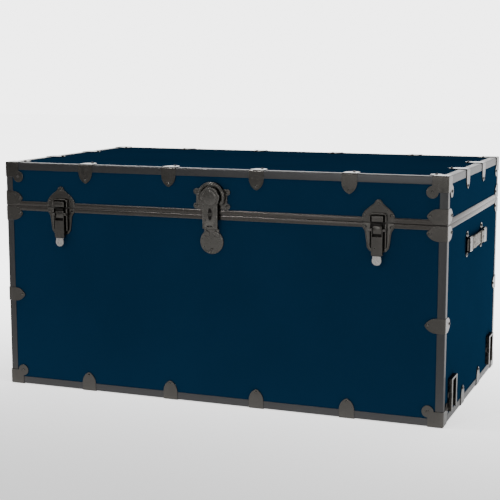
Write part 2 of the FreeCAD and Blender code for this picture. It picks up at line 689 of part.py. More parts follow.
def channel_walls(low, high):
    wall = face_block("front", ("wall_inside", "wall_outside"), (low, high), ("stamp_out", "wall_out"))
    return [wall, mirrored(wall, "x")]


def catch():
    """The lid's catch plate with its nose."""
    plate = front_plate([
        ("crown_half", rise("crown_rise")),
        ("ear_half", rise("ear_rise")),
        ("plate_half", rise("ear_side_rise")),
        ("plate_half", rise("plate_gap")),
    ])
    crown = face_disc("front", "crown_radius", "0", rise("crown_rise"), STAMP)
    nose = face_block("front", ("-nose_half", "nose_half"), (rise("nose_low"), rise("nose_high")),
                      ("stamp_out", "nose_out"))
    walls = channel_walls(rise("nose_low"), rise("wall_top_rise"))
    return cut(fuse([plate, crown, nose, *walls]), lid_rim["front"])


def bolt_base():
    """The case's base plate: a channel with two stub pins for the lever."""
    plate = front_plate([
        ("plate_half", drop("plate_gap")),
        ("plate_half", drop("foot_side_drop")),
        ("ear_half", drop("foot_ear_drop")),
        ("foot_waist_half", drop("foot_waist_drop")),
        ("foot_corner_half", drop("foot_corner_drop")),
        ("foot_half", drop("foot_drop")),
    ])
    walls = channel_walls(drop("foot_waist_drop"), drop("nose_low"))
    stub = rod("x", "pivot_radius", ("lever_half - lever_skin + turn_gap", "wall_outside"),
               PIVOT_Y, drop("lever_pivot_drop"))
    boss = rod("x", "pivot_boss", ("lever_half + lever_gap", "wall_outside"),
               PIVOT_Y, drop("lever_pivot_drop"))
    return cut(fuse([plate, *walls, stub, boss, mirrored(stub, "x"), mirrored(boss, "x")]), case_rim["front"])


def lever():
    """The lever: a face with two folded sides that reach up to its pivot, and a thumb tab."""
    side_span = ("lever_half - lever_skin", "lever_half")
    side = face_block("front", side_span, (drop("lever_foot_drop"), drop("link_pivot_drop")),
                      ("lever_in", "lever_out"))
    arm = face_block("front", side_span, (drop("link_pivot_drop"), drop("lever_pivot_drop")),
                     ("pivot_out - lever_eye", "lever_out"))
    eye = rod("x", "lever_eye", side_span, PIVOT_Y, drop("lever_pivot_drop"))
    sides = [side, arm, eye]
    skin_depths = ("lever_out - lever_skin", "lever_out")
    face = face_block("front", ("-lever_half", "lever_half"),
                      (drop("lever_foot_drop"), drop("lever_top_drop")), skin_depths)
    neck = face_block("front", ("-tab_neck", "tab_neck"),
                      (drop("tab_drop"), drop("lever_foot_drop - overrun")), skin_depths)
    tab = face_disc("front", "tab_radius", "0", drop("tab_drop"), skin_depths)
    whole = fuse([*sides, *(mirrored(piece, "x") for piece in sides), face, neck, tab])
    through = ("-lever_half - overrun", "lever_half + overrun")
    bores = group([
        rod("x", "pivot_radius + turn_gap", through, PIVOT_Y, drop("lever_pivot_drop")),
        rod("x", "link_pin_radius + turn_gap", through, PIVOT_Y, drop("link_pivot_drop")),
    ])
    return cut(whole, bores)


def link():
    """The link that pulls the lid down: a flat bar on a pin through the lever's sides."""
    bar = face_block("front", ("-link_half", "link_half"),
                     (drop("link_pivot_drop"), drop("link_top_drop")),
                     ("pivot_out - link_thick / 2", "pivot_out + link_thick / 2"))
    eye = rod("x", "link_eye", ("-link_half", "link_half"), PIVOT_Y, drop("link_pivot_drop"))
    pin = rod("x", "link_pin_radius", ("-lever_half", "lever_half"), PIVOT_Y, drop("link_pivot_drop"))
    return fuse([bar, eye, pin])


for name, make in {"draw_bolt_catch": catch, "draw_bolt_base": bolt_base,
                   "draw_bolt_lever": lever, "draw_bolt_link": link}.items():
    piece = make()
    sub_part(f"left_{name}", group([moved(piece, x="-bolt_place")]))
    sub_part(f"right_{name}", group([moved(piece, x="bolt_place")]))


# ---------------------------------------------------------------- lock
LOCK_Y = off_face("front", "lock_axis_out")
LOCK_Z = "lock_axis_height"
LOCK_MIDDLE = ("-middle_knuckle_half", "middle_knuckle_half")
LOCK_SIDE = ("middle_knuckle_half + knuckle_gap", "hasp_half")


def lock_foot():
    """The foot plate with the middle knuckle of the hasp's hinge and two round bosses."""
    depths = ("0", "foot_plate_out")
    plate = face_block("front", ("-hasp_half", "hasp_half"),
                       ("foot_plate_height", f"{LOCK_Z} - plate_top_drop"), depths)
    foot = face_disc("front", "foot_plate_radius", "0", "foot_plate_height", depths)
    step = face_block("front", LOCK_MIDDLE, (f"{LOCK_Z} - step_drop", LOCK_Z), ("0", "step_out"))
    web = face_block("front", LOCK_MIDDLE, (f"{LOCK_Z} - web_drop", LOCK_Z), ("web_in", "lock_axis_out"))
    knuckle = rod("x", "lock_knuckle", LOCK_MIDDLE, LOCK_Y, LOCK_Z)
    boss = face_disc("front", "boss_radius", "boss_place", "boss_height", ("0", "boss_out"))
    whole = fuse([plate, foot, step, web, knuckle, boss, mirrored(boss, "x")])
    return cut(whole, rod("x", "lock_pin_radius", ("-hasp_half", "hasp_half"), LOCK_Y, LOCK_Z))


def hasp():
    """The hasp: a bar with a round head, knuckles at its foot, and the lock body behind it."""
    depths = ("hasp_in", "hasp_out")
    bar = face_block("front", ("-hasp_half", "hasp_half"), (f"{LOCK_Z} + bar_rise", "head_height"), depths)
    head = face_disc("front", "head_radius", "0", "head_height", ("hasp_in", "head_out"))
    knuckle = rod("x", "lock_knuckle", LOCK_SIDE, LOCK_Y, LOCK_Z)
    neck = face_block("front", LOCK_SIDE, (LOCK_Z, f"{LOCK_Z} + neck_rise"), ("hasp_in", "hasp_out"))
    body = face_block("front", ("-lock_body_half", "lock_body_half"),
                      ("lock_body_low", "lock_body_high"), ("lock_body_in", "hasp_in"))
    guide_span = ("-guide_left", "guide_right")
    bolt_top = "bolt_height + bolt_half_height + bolt_play"
    guide = face_block("front", guide_span, (bolt_top, f"{bolt_top} + guide_wall"), ("bolt_in", "hasp_in"))
    lower_guide = face_block("front", guide_span,
                             ("lock_body_high", "bolt_height - bolt_half_height - bolt_play"),
                             ("lock_body_in", "hasp_in"))
    sides = [knuckle, neck, mirrored(knuckle, "x"), mirrored(neck, "x")]
    whole = fuse([bar, head, *sides, body, guide, lower_guide])
    bores = group([
        face_disc("front", "plug_radius + turn_gap", "0", "plug_height", ("lock_body_in - overrun", "head_out")),
        rod("x", "lock_pin_radius + turn_gap", ("-hasp_half", "hasp_half"), LOCK_Y, LOCK_Z),
    ])
    return cut(whole, bores)


def plug():
    """The key plug, with its keyhole."""
    barrel = face_disc("front", "plug_radius", "0", "plug_height", ("lock_body_in", "plug_out"))
    slot = face_block("front", ("-keyhole_half", "keyhole_half"),
                      ("plug_height - keyhole_reach", "plug_height + keyhole_reach"),
                      ("keyhole_in", "plug_out + overrun"))
    return cut(barrel, slot)


def keeper():
    """The lid's keeper plate: four ears, a ring open at its foot, and the bolt's staple."""
    plate = face_block("front", ("-keeper_half", "keeper_half"), ("keeper_low", "keeper_high"), STAMP)
    ears = []
    for height in ("keeper_low + keeper_ear", "keeper_high - keeper_ear"):
        ear = face_disc("front", "keeper_ear", "keeper_half", height, STAMP)
        ears += [ear, mirrored(ear, "x")]
    full = ("-ring_outside", "ring_outside")
    outward = ("stamp_out", "ring_out + overrun")
    below = "keeper_low - ring_opening"
    hollow = fuse([
        face_disc("front", "ring_inside", "0", "ring_height", outward),
        face_block("front", full, (below, "keeper_low + ring_opening"), outward),
        face_block("front", full, (below, "keeper_low"), ("-overrun", "ring_out + overrun")),
    ])
    ring = cut(face_disc("front", "ring_outside", "0", "ring_height", ("0", "ring_out")), hollow)
    staple_up = ("lock_body_high + staple_gap", "bolt_height + bolt_half_height + staple_bar")
    staple = face_block("front", ("staple_near", "staple_far"), staple_up,
                        ("stamp_out", "hasp_in - staple_gap"))
    slot = face_block("front", ("staple_near - overrun", "staple_far + overrun"),
                      ("bolt_height - bolt_half_height - staple_play",
                       "bolt_height + bolt_half_height + staple_play"),
                      ("bolt_in - staple_play", "bolt_out + staple_play"))
    return cut(fuse([plate, *ears, ring, staple]), slot)


sub_part("lock_foot_plate", lock_foot())
sub_part("lock_hinge_pin", rod("x", "lock_pin_radius", ("-hasp_half", "hasp_half"), LOCK_Y, LOCK_Z))
sub_part("lock_hasp", hasp())
sub_part("lock_plug", plug())
sub_part("lock_bolt", face_block(
    "front", ("-bolt_tail", "bolt_tip"),
    ("bolt_height - bolt_half_height", "bolt_height + bolt_half_height"), ("bolt_in", "bolt_out")))
sub_part("lock_keeper", keeper())


# ---------------------------------------------------------------- handles
def handle_loop():
    """A pressed loop on the right end: two feet and a bridge that the strap passes under."""
    upper_half = [
        ("0", "loop_half_height - loop_metal"),
        ("0", "loop_foot_half"),
        ("loop_metal", "loop_foot_half"),
        ("loop_metal", "loop_half_height"),
        ("loop_out", "loop_half_height"),
    ]
    lower_half = [(across, f"-({up})") for across, up in reversed(upper_half)]
    inner = [("loop_out - loop_metal", "-(loop_half_height - loop_metal)"),
             ("loop_out - loop_metal", "loop_half_height - loop_metal")]
    return pad("XZ_Plane", upper_half + lower_half + inner, "2 * loop_half",
               (RIGHT, "case_shift - loop_place + loop_half", "handle_height"))


def strap_end():
    """The fixed end of a handle strap: under its loop, with a layer folded back beneath it."""
    up = ("handle_height - strap_half_height", "handle_height + strap_half_height")
    through = face_block("right", ("case_shift - strap_tip", "case_shift - strap_seat"), up,
                         ("strap_in", "strap_out"))
    fold = face_block("right", ("case_shift - strap_tip", "case_shift - strap_fold"), up,
                      ("fold_in", "strap_out"))
    return fuse([through, fold])


def grip(face):
    """The part of a strap that lifts, with a riveted outer layer beside each loop."""
    up = ("handle_height - strap_half_height", "handle_height + strap_half_height")
    strap = face_block(face, ("case_shift - grip_half", "case_shift + grip_half"), up,
                       ("strap_in", "strap_out"))
    band = face_block(face, ("case_shift + band_near", "case_shift + band_far"), up,
                      ("strap_in", "band_out"))
    head = rivet(face, "case_shift + band_rivet", "handle_height", "band_out")
    return fuse([strap, band, mirrored(band, "y"), head, mirrored(head, "y")])


sub_part("handle_loops", group(on_four_corners(handle_loop())))
sub_part("strap_ends", group(on_four_corners(strap_end())))
sub_part("left_handle_grip", grip("left"))
sub_part("right_handle_grip", grip("right"))


# ---------------------------------------------------------------- wheel brackets
def wheel_bracket():
    """A channel on the right end that a clip-on wheel slides up into, closed at its top."""
    half = [
        ("0", "bracket_half"),
        ("bracket_out", "bracket_half"),
        ("bracket_out", "bracket_half - lip_width"),
        ("bracket_out - bracket_metal", "bracket_half - lip_width"),
        ("bracket_out - bracket_metal", "bracket_half - rail_width"),
        ("bracket_metal", "bracket_half - rail_width"),
    ]
    other_half = [(across, f"-({up})") for across, up in reversed(half)]
    middle = "case_shift - bracket_place"
    channel = pad("XY_Plane", half + other_half, "bracket_high - bracket_low",
                  (RIGHT, middle, "bracket_low"))
    across = (f"{middle} - bracket_half", f"{middle} + bracket_half")
    cap = face_block("right", across, ("bracket_high - bracket_cap", "bracket_high"), ("0", "bracket_out"))
    notch = face_block("right", across, ("bracket_low + notch_low", "bracket_low + notch_high"),
                       ("bracket_metal", "bracket_out + overrun"))
    kept = face_block("right", (f"{middle} - bracket_half + bracket_metal",
                                f"{middle} + bracket_half - bracket_metal"),
                      ("bracket_low - overrun", "bracket_high + overrun"),
                      ("-overrun", "bracket_out + 2 * overrun"))
    return cut(fuse([channel, cap]), cut(notch, kept))


sub_part("wheel_brackets", group(on_four_corners(wheel_bracket())))


# ---------------------------------------------------------------- lid stays
STAY_PIVOT_Y = f"{HINGE_Y} - stay_pivot_ahead"
STAY_PIVOT_Z = f"{SEAM} + stay_pivot_rise"
STAY_PIN_Y = f"{HINGE_Y} - stay_pin_ahead"
STAY_PIN_Z = f"{SEAM} - stay_pin_drop"
LINING_X = f"{RIGHT} - panel_thick - lining_thick"


def stay_bracket(y, z):
    """A plate on the right lining with a stub that carries the stay arm."""
    plate = block((f"{LINING_X} - stay_plate", LINING_X), (f"{y} - stay_plate_half", f"{y} + stay_plate_half"),
                  (f"{z} - stay_plate_half", f"{z} + stay_plate_half"))
    collar = rod("x", "stay_collar", ("stay_outside + stay_gap", LINING_X), y, z)
    stub = rod("x", "stay_pin_radius", ("stay_inside - stay_head", LINING_X), y, z)
    head = rod("x", "stay_collar", ("stay_inside - stay_head", "stay_inside - stay_gap"), y, z)
    return fuse([plate, collar, stub, head])


def stay_arm():
    """A slotted arm hung from the lid pivot, leaning so that its slot takes the guide pin."""
    span = ("stay_inside", "stay_outside")
    bar = fuse([
        block(span, ("-stay_half", "stay_half"), ("-stay_length", "0")),
        rod("x", "stay_half", span, "0", "0"),
        rod("x", "stay_half", span, "0", "-stay_length"),
    ])
    slot = fuse([
        block(span, ("-slot_half", "slot_half"), ("-stay_length", "-slot_start")),
        rod("x", "slot_half", span, "0", "-stay_length"),
        rod("x", "slot_half", span, "0", "-slot_start"),
    ])
    arm = cut(bar, fuse([slot, rod("x", "stay_pin_radius + turn_gap", span, "0", "0")]))
    arm.Placement.Rotation = Rotation(Vector(1, 0, 0), 1)
    lean = "atan((stay_pivot_ahead - stay_pin_ahead) / (stay_pivot_rise + stay_pin_drop))"
    arm.setExpression("Placement.Rotation.Angle", bind(lean))
    arm.setExpression("Placement.Base.y", bind(STAY_PIVOT_Y))
    arm.setExpression("Placement.Base.z", bind(STAY_PIVOT_Z))
    return arm


lid_stay_bracket = stay_bracket(STAY_PIVOT_Y, STAY_PIVOT_Z)
case_stay_bracket = stay_bracket(STAY_PIN_Y, STAY_PIN_Z)
sub_part("lid_stay_brackets", group([lid_stay_bracket, mirrored(lid_stay_bracket, "x")]))
sub_part("case_stay_brackets", group([case_stay_bracket, mirrored(case_stay_bracket, "x")]))
right_arm = sub_part("right_stay_arm", stay_arm())
sub_part("left_stay_arm", mirrored(right_arm, "x"))


# ---------------------------------------------------------------- rivets
def corner_rivets(depth_height, inset):
    """Rivets beside the right front edge at one height, one on each wall."""
    return [rivet("front", f"{RIGHT} - {inset}", depth_height),
            rivet("right", f"{FRONT} + {inset}", depth_height)]


def edge_rivets(height):
    """Rivets of the edge clamps' wall lobes, on the front and on the right end."""
    fronts = [rivet("front", place, height) for place in
              ("-long_clamp_far", "-long_clamp_near", "long_clamp_near", "long_clamp_far")]
    ends = [rivet("right", f"case_shift {way} end_clamp_place", height) for way in "-+"]
    return (fronts + [mirrored(piece, "y") for piece in fronts]
            + ends + [mirrored(piece, "x") for piece in ends])


def top_rivets():
    """Rivets of the top face: cap lobes and clamp lobes."""
    cap = rivet("top", f"{RIGHT} - cap_lobe_inset", f"{FRONT} + cap_lobe_inset")
    fronts = [rivet("top", place, f"{FRONT} + clamp_rivet_inset") for place in
              ("-long_clamp_far", "-long_clamp_near", "long_clamp_near", "long_clamp_far")]
    ends = [rivet("top", f"{RIGHT} - clamp_rivet_inset", f"case_shift {way} end_clamp_place")
            for way in "-+"]
    return (on_four_corners(cap) + fronts + [mirrored(piece, "y") for piece in fronts]
            + ends + [mirrored(piece, "x") for piece in ends])


def spread(rivets):
    """Rivets and their mirror images at the four upright edges."""
    return [copy for head in rivets for copy in on_four_corners(head)]


def hinge_rivets(way):
    """Four rivets in each hinge leaf, on one side of the seam."""
    rows = [f"{SEAM} {way} hinge_rivet_near", f"{SEAM} {way} hinge_rivet_far"]
    return [rivet("back", f"{middle} {side} hinge_rivet_place", row, "leaf_out")
            for middle in ("-hinge_place", "0", "hinge_place") for side in "-+" for row in rows]


def pairs_at_bolts(places):
    """Rivets of both draw bolts, at places across and up."""
    return [rivet("front", f"{middle} + ({across})", up)
            for middle in ("-bolt_place", "bolt_place") for across, up in places]


case_rivets = (
    spread(corner_rivets(f"{UNDER} + cap_lobe_inset", "cap_lobe_inset")
           + corner_rivets("post_clamp_height", "clamp_rivet_inset")
           + corner_rivets(f"{SEAM} - rim_clamp_drop", "clamp_rivet_inset"))
    + edge_rivets(f"{UNDER} + clamp_rivet_inset")
    + hinge_rivets("-")
    + pairs_at_bolts([("-bolt_rivet_place", drop("foot_side_drop")),
                      ("bolt_rivet_place", drop("foot_side_drop")), ("0", drop("foot_rivet_drop"))])
    + [rivet("front", "0", "foot_plate_height - foot_screw_drop", "foot_plate_out")]
    + spread([rivet("right", "case_shift - loop_place", f"handle_height {way} loop_rivet_rise",
                    "loop_metal") for way in "-+"]
             + [rivet("right", "case_shift - bracket_place", f"bracket_low + {up}", "bracket_metal")
                for up in ("bracket_rivet_low", "bracket_rivet_high")])
)
lid_rivets = (
    top_rivets()
    + spread(corner_rivets(f"{TOP} - cap_lobe_inset", "cap_lobe_inset")
             + corner_rivets(f"{SEAM} + rim_clamp_drop", "clamp_rivet_inset"))
    + edge_rivets(f"{TOP} - clamp_rivet_inset")
    + hinge_rivets("+")
    + pairs_at_bolts([("-bolt_rivet_place", rise("ear_side_rise")),
                      ("bolt_rivet_place", rise("ear_side_rise")), ("0", rise("crown_rise"))])
    + [rivet("front", f"{side}keeper_half", height) for side in ("-", "")
       for height in ("keeper_low + keeper_ear", "keeper_high - keeper_ear")]
)
sub_part("case_rivets", group(case_rivets))
sub_part("lid_rivets", group(lid_rivets))

# ---------------------------------------------------------------- check and write
doc.recompute()
for item in doc.Objects:
    if "Invalid" in item.State or "Error" in item.State:
        raise RuntimeError(f"{item.Label} failed: {item.State}")
for name, piece in nodes.items():
    if piece.Shape.isNull() or not piece.Shape.isValid() or not piece.Shape.Solids:
        raise RuntimeError(f"{name} has no valid solid")

os.makedirs("parts", exist_ok=True)
for name, piece in nodes.items():
    piece.Shape.exportStep(f"parts/{name}.step")
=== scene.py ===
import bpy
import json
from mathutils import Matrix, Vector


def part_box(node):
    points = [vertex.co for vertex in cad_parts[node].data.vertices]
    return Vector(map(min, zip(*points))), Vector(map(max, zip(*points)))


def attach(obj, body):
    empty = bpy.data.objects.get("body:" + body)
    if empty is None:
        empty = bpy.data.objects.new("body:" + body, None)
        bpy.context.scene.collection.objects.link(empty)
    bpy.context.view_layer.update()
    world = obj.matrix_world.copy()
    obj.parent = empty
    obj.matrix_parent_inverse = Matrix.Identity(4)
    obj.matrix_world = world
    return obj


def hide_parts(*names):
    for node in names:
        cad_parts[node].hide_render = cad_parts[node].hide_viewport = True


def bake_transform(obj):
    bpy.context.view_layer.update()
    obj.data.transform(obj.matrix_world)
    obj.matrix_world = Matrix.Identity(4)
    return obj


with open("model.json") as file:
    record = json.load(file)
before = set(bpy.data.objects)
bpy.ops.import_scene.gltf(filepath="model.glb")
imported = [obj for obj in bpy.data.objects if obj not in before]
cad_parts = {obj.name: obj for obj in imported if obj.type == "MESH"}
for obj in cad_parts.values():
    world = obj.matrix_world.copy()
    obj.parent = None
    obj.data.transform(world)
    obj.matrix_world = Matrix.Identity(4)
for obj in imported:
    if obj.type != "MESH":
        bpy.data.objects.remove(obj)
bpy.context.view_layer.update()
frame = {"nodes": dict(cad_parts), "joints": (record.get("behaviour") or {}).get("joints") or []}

import json
import math

import bmesh
import bpy
from mathutils import Matrix, Vector

MM = 0.001
PANEL_LOW, PANEL_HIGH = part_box("case_bottom_panel")
LID_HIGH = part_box("lid_top_panel")[1]
FRONT_Y = PANEL_LOW.y
BACK_Y = PANEL_HIGH.y
RIGHT_X = PANEL_HIGH.x
CASE_MID_Y = (FRONT_Y + BACK_Y) / 2
TRUNK_MIDDLE = (PANEL_LOW + LID_HIGH) / 2
SEAM_Z = frame["joints"][0]["pos_m"][2]

LENS, SENSOR = 87.67, 36
CAMERA_PLACE, CAMERA_DIP, CAMERA_TURN = (0.9054, -2.388, 0.6577), 8.642, 21.185
# How strongly the studio glows: in front of the trunk and behind it.
FRONT_GLOW, BACK_GLOW = 0.5, 4.4
# Axis, span of the direction along it, and the share of the glow at the span's end.
GLOW_SHARES = (("Z", (0.12, 0.7), 0.12), ("X", (-0.12, 0.2), 0.85))
# The floor's own glow rises over this span of Y, in metres.
FLOOR_SPAN, FLOOR_GLOW = (-1.0, 1.1), (0.05, 3.8)
FLOOR_NEAR, FLOOR_FAR, FLOOR_HALF = -7.0, 12.0, 9.0
# Name, place, target, size of the soft box in metres and power in watts.
LIGHTS = (
    ("key", (-1.8, -3.0, 2.2), (0, 0, 0.25), (1.4, 1.1), 10),
    ("left_spark", (-1.3, -3.1, 2.0), (0, 0, 0.25), (0.11, 0.11), 30),
    ("right_spark", (2.6, -2.6, 1.5), (0.2, 0, 0.3), (0.1, 0.1), 12),
    ("fill", (1.6, -3.4, 1.0), (0, 0, 0.25), (0.9, 1.4), 17),
    ("band", (-0.35, -3.2, 0.75), (0.3, 0, 0.35), (0.5, 0.8), 9),
    ("overhead", (0, -0.5, 2.3), (0, -0.2, 0.3), (3.2, 0.3), 34),
    ("left_strip", (-2.6, -1.3, 0.7), (0, -0.3, 0.3), (0.3, 1.7), 16),
    ("right_strip", (2.7, -0.9, 0.7), (0.3, -0.2, 0.3), (0.3, 1.7), 16),
)


# ---------------------------------------------------------------- camera, light and floor
def make_camera():
    """A long lens, low and to the right of the front."""
    data = bpy.data.cameras.new("camera")
    data.lens = LENS
    data.sensor_width = SENSOR
    data.dof.use_dof = False
    camera = bpy.data.objects.new("camera", data)
    camera.location = CAMERA_PLACE
    camera.rotation_euler = (math.radians(90 - CAMERA_DIP), 0, math.radians(CAMERA_TURN))
    bpy.context.scene.collection.objects.link(camera)
    bpy.context.scene.camera = camera


def make_light(name, place, target, size, power):
    """A rectangular soft box aimed at a point."""
    data = bpy.data.lights.new(name, "AREA")
    data.shape = "RECTANGLE"
    data.size, data.size_y = size
    data.energy = power
    lamp = bpy.data.objects.new(name, data)
    lamp.location = place
    aim = Vector(target) - Vector(place)
    lamp.rotation_euler = aim.to_track_quat("-Z", "Y").to_euler()
    bpy.context.scene.collection.objects.link(lamp)


def map_range(tree, source, span, result, smooth=False):
    """The output of a node that maps a span of the source to a span of results."""
    node = tree.nodes.new("ShaderNodeMapRange")
    if smooth:
        node.interpolation_type = "SMOOTHSTEP"
    for name, value in zip(("From Min", "From Max", "To Min", "To Max"), (*span, *result)):
        node.inputs[name].default_value = value
    tree.links.new(source, node.inputs["Value"])
    return node.outputs["Result"]


def split_coordinates(tree, kind):
    """The X, Y and Z outputs of a kind of texture coordinates."""
    coordinates = tree.nodes.new("ShaderNodeTexCoord")
    split = tree.nodes.new("ShaderNodeSeparateXYZ")
    tree.links.new(coordinates.outputs[kind], split.inputs[0])
    return split.outputs


def make_world():
    """A white horizon behind and beside the trunk, dim in front of it and overhead."""
    world = bpy.data.worlds.new("studio")
    bpy.context.scene.world = world
    world.use_nodes = True
    tree = world.node_tree
    direction = split_coordinates(tree, "Generated")
    strength = map_range(tree, direction["Y"], (0.0, 0.8), (FRONT_GLOW, BACK_GLOW), smooth=True)
    for axis, span, share in GLOW_SHARES:
        product = tree.nodes.new("ShaderNodeMath")
        product.operation = "MULTIPLY"
        factor = map_range(tree, direction[axis], span, (1.0, share), smooth=True)
        tree.links.new(strength, product.inputs[0])
        tree.links.new(factor, product.inputs[1])
        strength = product.outputs[0]
    background = tree.nodes["Background"]
    background.inputs["Color"].default_value = (1, 1, 1, 1)
    tree.links.new(strength, background.inputs["Strength"])


def floor_white():
    """White, glowing more towards the back so that it meets the white horizon."""
    material = bpy.data.materials.new("floor_white")
    material.use_nodes = True
    tree = material.node_tree
    shader = tree.nodes["Principled BSDF"]
    shader.inputs["Base Color"].default_value = (0.93, 0.93, 0.93, 1)
    shader.inputs["Roughness"].default_value = 0.9
    shader.inputs["Specular IOR Level"].default_value = 0.0
    shader.inputs["Emission Color"].default_value = (1, 1, 1, 1)
    along = split_coordinates(tree, "Object")["Y"]
    glow = map_range(tree, along, FLOOR_SPAN, FLOOR_GLOW, smooth=True)
    tree.links.new(glow, shader.inputs["Emission Strength"])
    return material


def make_floor():
    """A pale floor under and all round the trunk."""
    mesh = bpy.data.meshes.new("floor")
    corners = [(-FLOOR_HALF, FLOOR_NEAR, 0), (FLOOR_HALF, FLOOR_NEAR, 0),
               (FLOOR_HALF, FLOOR_FAR, 0), (-FLOOR_HALF, FLOOR_FAR, 0)]
    mesh.from_pydata(corners, [], [(0, 1, 2, 3)])
    floor = bpy.data.objects.new("floor", mesh)
    bpy.context.scene.collection.objects.link(floor)
    mesh.materials.append(floor_white())


make_camera()
make_world()
for light in LIGHTS:
    make_light(*light)
make_floor()


# ---------------------------------------------------------------- materials
class Shader:
    """A principled material with short ways to add procedural detail."""

    def __init__(self, name, colour, roughness, metallic=0.0):
        self.material = bpy.data.materials.new(name)
        self.material.use_nodes = True
        self.tree = self.material.node_tree
        self.principled = self.tree.nodes["Principled BSDF"]
        self.set("Base Color", (*colour, 1))
        self.set("Roughness", roughness)
        self.set("Metallic", metallic)
        self.roughness = roughness
        self.coordinates = self.tree.nodes.new("ShaderNodeTexCoord").outputs["Object"]
        self.normal = None

    def set(self, socket, value):
        self.principled.inputs[socket].default_value = value

    def scaled(self, scale):
        """Object coordinates stretched along each axis."""
        node = self.tree.nodes.new("ShaderNodeMapping")
        node.inputs["Scale"].default_value = scale
        self.tree.links.new(self.coordinates, node.inputs["Vector"])
        return node.outputs["Vector"]

    def noise(self, scale, detail, stretch=(1, 1, 1)):
        node = self.tree.nodes.new("ShaderNodeTexNoise")
        node.inputs["Scale"].default_value = scale
        node.inputs["Detail"].default_value = detail
        self.tree.links.new(self.scaled(stretch), node.inputs["Vector"])
        return node.outputs["Fac"]

    def cells(self, scale):
        node = self.tree.nodes.new("ShaderNodeTexVoronoi")
        node.feature = "SMOOTH_F1"
        node.inputs["Scale"].default_value = scale
        self.tree.links.new(self.coordinates, node.inputs["Vector"])
        return node.outputs["Distance"]

    def mix_colour(self, factor, other):
        """Blend the colour so far towards another by a factor output."""
        node = self.tree.nodes.new("ShaderNodeMix")
        node.data_type = "RGBA"
        socket = self.principled.inputs["Base Color"]
        first = node.inputs[6]
        if socket.is_linked:
            self.tree.links.new(socket.links[0].from_socket, first)
        else:
            first.default_value = socket.default_value
        node.inputs[7].default_value = (*other, 1)
        self.tree.links.new(factor, node.inputs[0])
        self.tree.links.new(node.outputs[2], socket)

    def patches(self, source, span, amount, other):
        """Blend towards another colour, by up to an amount, as a source crosses a span."""
        self.mix_colour(map_range(self.tree, source, span, (0, amount)), other)

    def vary_roughness(self, source, spread):
        limits = (self.roughness - spread, self.roughness + spread)
        result = map_range(self.tree, source, (0.3, 0.7), limits)
        self.tree.links.new(result, self.principled.inputs["Roughness"])

    def bump(self, source, height, strength):
        """Add relief, in metres, on top of the relief so far."""
        node = self.tree.nodes.new("ShaderNodeBump")
        node.inputs["Strength"].default_value = strength
        node.inputs["Distance"].default_value = height
        self.tree.links.new(source, node.inputs["Height"])
        if self.normal is not None:
            self.tree.links.new(self.normal, node.inputs["Normal"])
        self.normal = node.outputs["Normal"]
        self.tree.links.new(self.normal, self.principled.inputs["Normal"])

    def edge_wear(self, amount, colour):
        """Lighter worn metal where the surface is most convex."""
        node = self.tree.nodes.new("ShaderNodeNewGeometry")
        self.patches(node.outputs["Pointiness"], (0.53, 0.6), amount, colour)


def steel(name, colour, roughness, stretch=(1, 1, 1), grazing=0.45):
    """Plated steel: faint rolling lines and cloudy plating, brighter on rubbed edges."""
    shader = Shader(name, colour, roughness, 1.0)
    shader.set("Specular Tint", (grazing, grazing, grazing, 1))
    darker, lighter, worn = (tuple(min(1.0, share * part) for part in colour)
                             for share in (0.72, 1.3, 2.0))
    shader.patches(shader.noise(26, 4), (0.42, 0.72), 0.35, darker)
    shader.patches(shader.noise(210, 2), (0.6, 0.75), 0.35, lighter)
    shader.vary_roughness(shader.noise(160, 4, stretch), 0.06)
    shader.bump(shader.noise(420, 2, stretch), 0.00001, 0.4)
    shader.bump(shader.noise(60, 2), 0.00004, 0.4)
    shader.edge_wear(0.5, worn)
    return shader.material


def vinyl():
    """Navy vinyl on board: pebbled grain, faint clouding and scuffs."""
    shader = Shader("navy_vinyl", (0.0021, 0.0142, 0.0335), 0.5)
    shader.set("Specular IOR Level", 0.0)
    shader.patches(shader.noise(7, 4), (0.35, 0.7), 0.5, (0.0016, 0.0119, 0.0282))
    shader.patches(shader.noise(340, 2), (0.55, 0.8), 0.35, (0.0034, 0.0182, 0.04))
    shader.vary_roughness(shader.noise(55, 4), 0.07)
    shader.bump(shader.noise(16, 3), 0.0004, 0.18)
    shader.bump(shader.cells(820), 0.00006, 0.55)
    return shader.material


def lining_paper():
    """Cream lining paper with a fine printed stripe, clouding and fibres."""
    shader = Shader("lining_paper", (0.52, 0.46, 0.36), 0.85)
    wave = shader.tree.nodes.new("ShaderNodeTexWave")
    wave.wave_type = "BANDS"
    wave.bands_direction = "DIAGONAL"
    wave.inputs["Scale"].default_value = 28
    wave.inputs["Distortion"].default_value = 0.4
    shader.tree.links.new(shader.coordinates, wave.inputs["Vector"])
    shader.patches(wave.outputs["Fac"], (0.82, 0.95), 0.55, (0.33, 0.27, 0.19))
    shader.patches(shader.noise(12, 4), (0.45, 0.75), 0.4, (0.42, 0.35, 0.25))
    shader.bump(shader.noise(420, 4), 0.00008, 0.6)
    return shader.material


def strap_leather():
    """Grey-brown strap leather with pores, creases and burnished spots."""
    shader = Shader("strap_leather", (0.125, 0.114, 0.1), 0.58)
    shader.set("Specular IOR Level", 0.08)
    shader.patches(shader.noise(45, 5), (0.4, 0.7), 0.7, (0.1, 0.09, 0.078))
    shader.patches(shader.noise(500, 2), (0.62, 0.72), 0.5, (0.065, 0.057, 0.049))
    shader.vary_roughness(shader.noise(120, 3), 0.1)
    shader.bump(shader.cells(900), 0.00012, 0.6)
    shader.bump(shader.noise(90, 4, (1, 4, 1)), 0.0002, 0.35)
    return shader.material


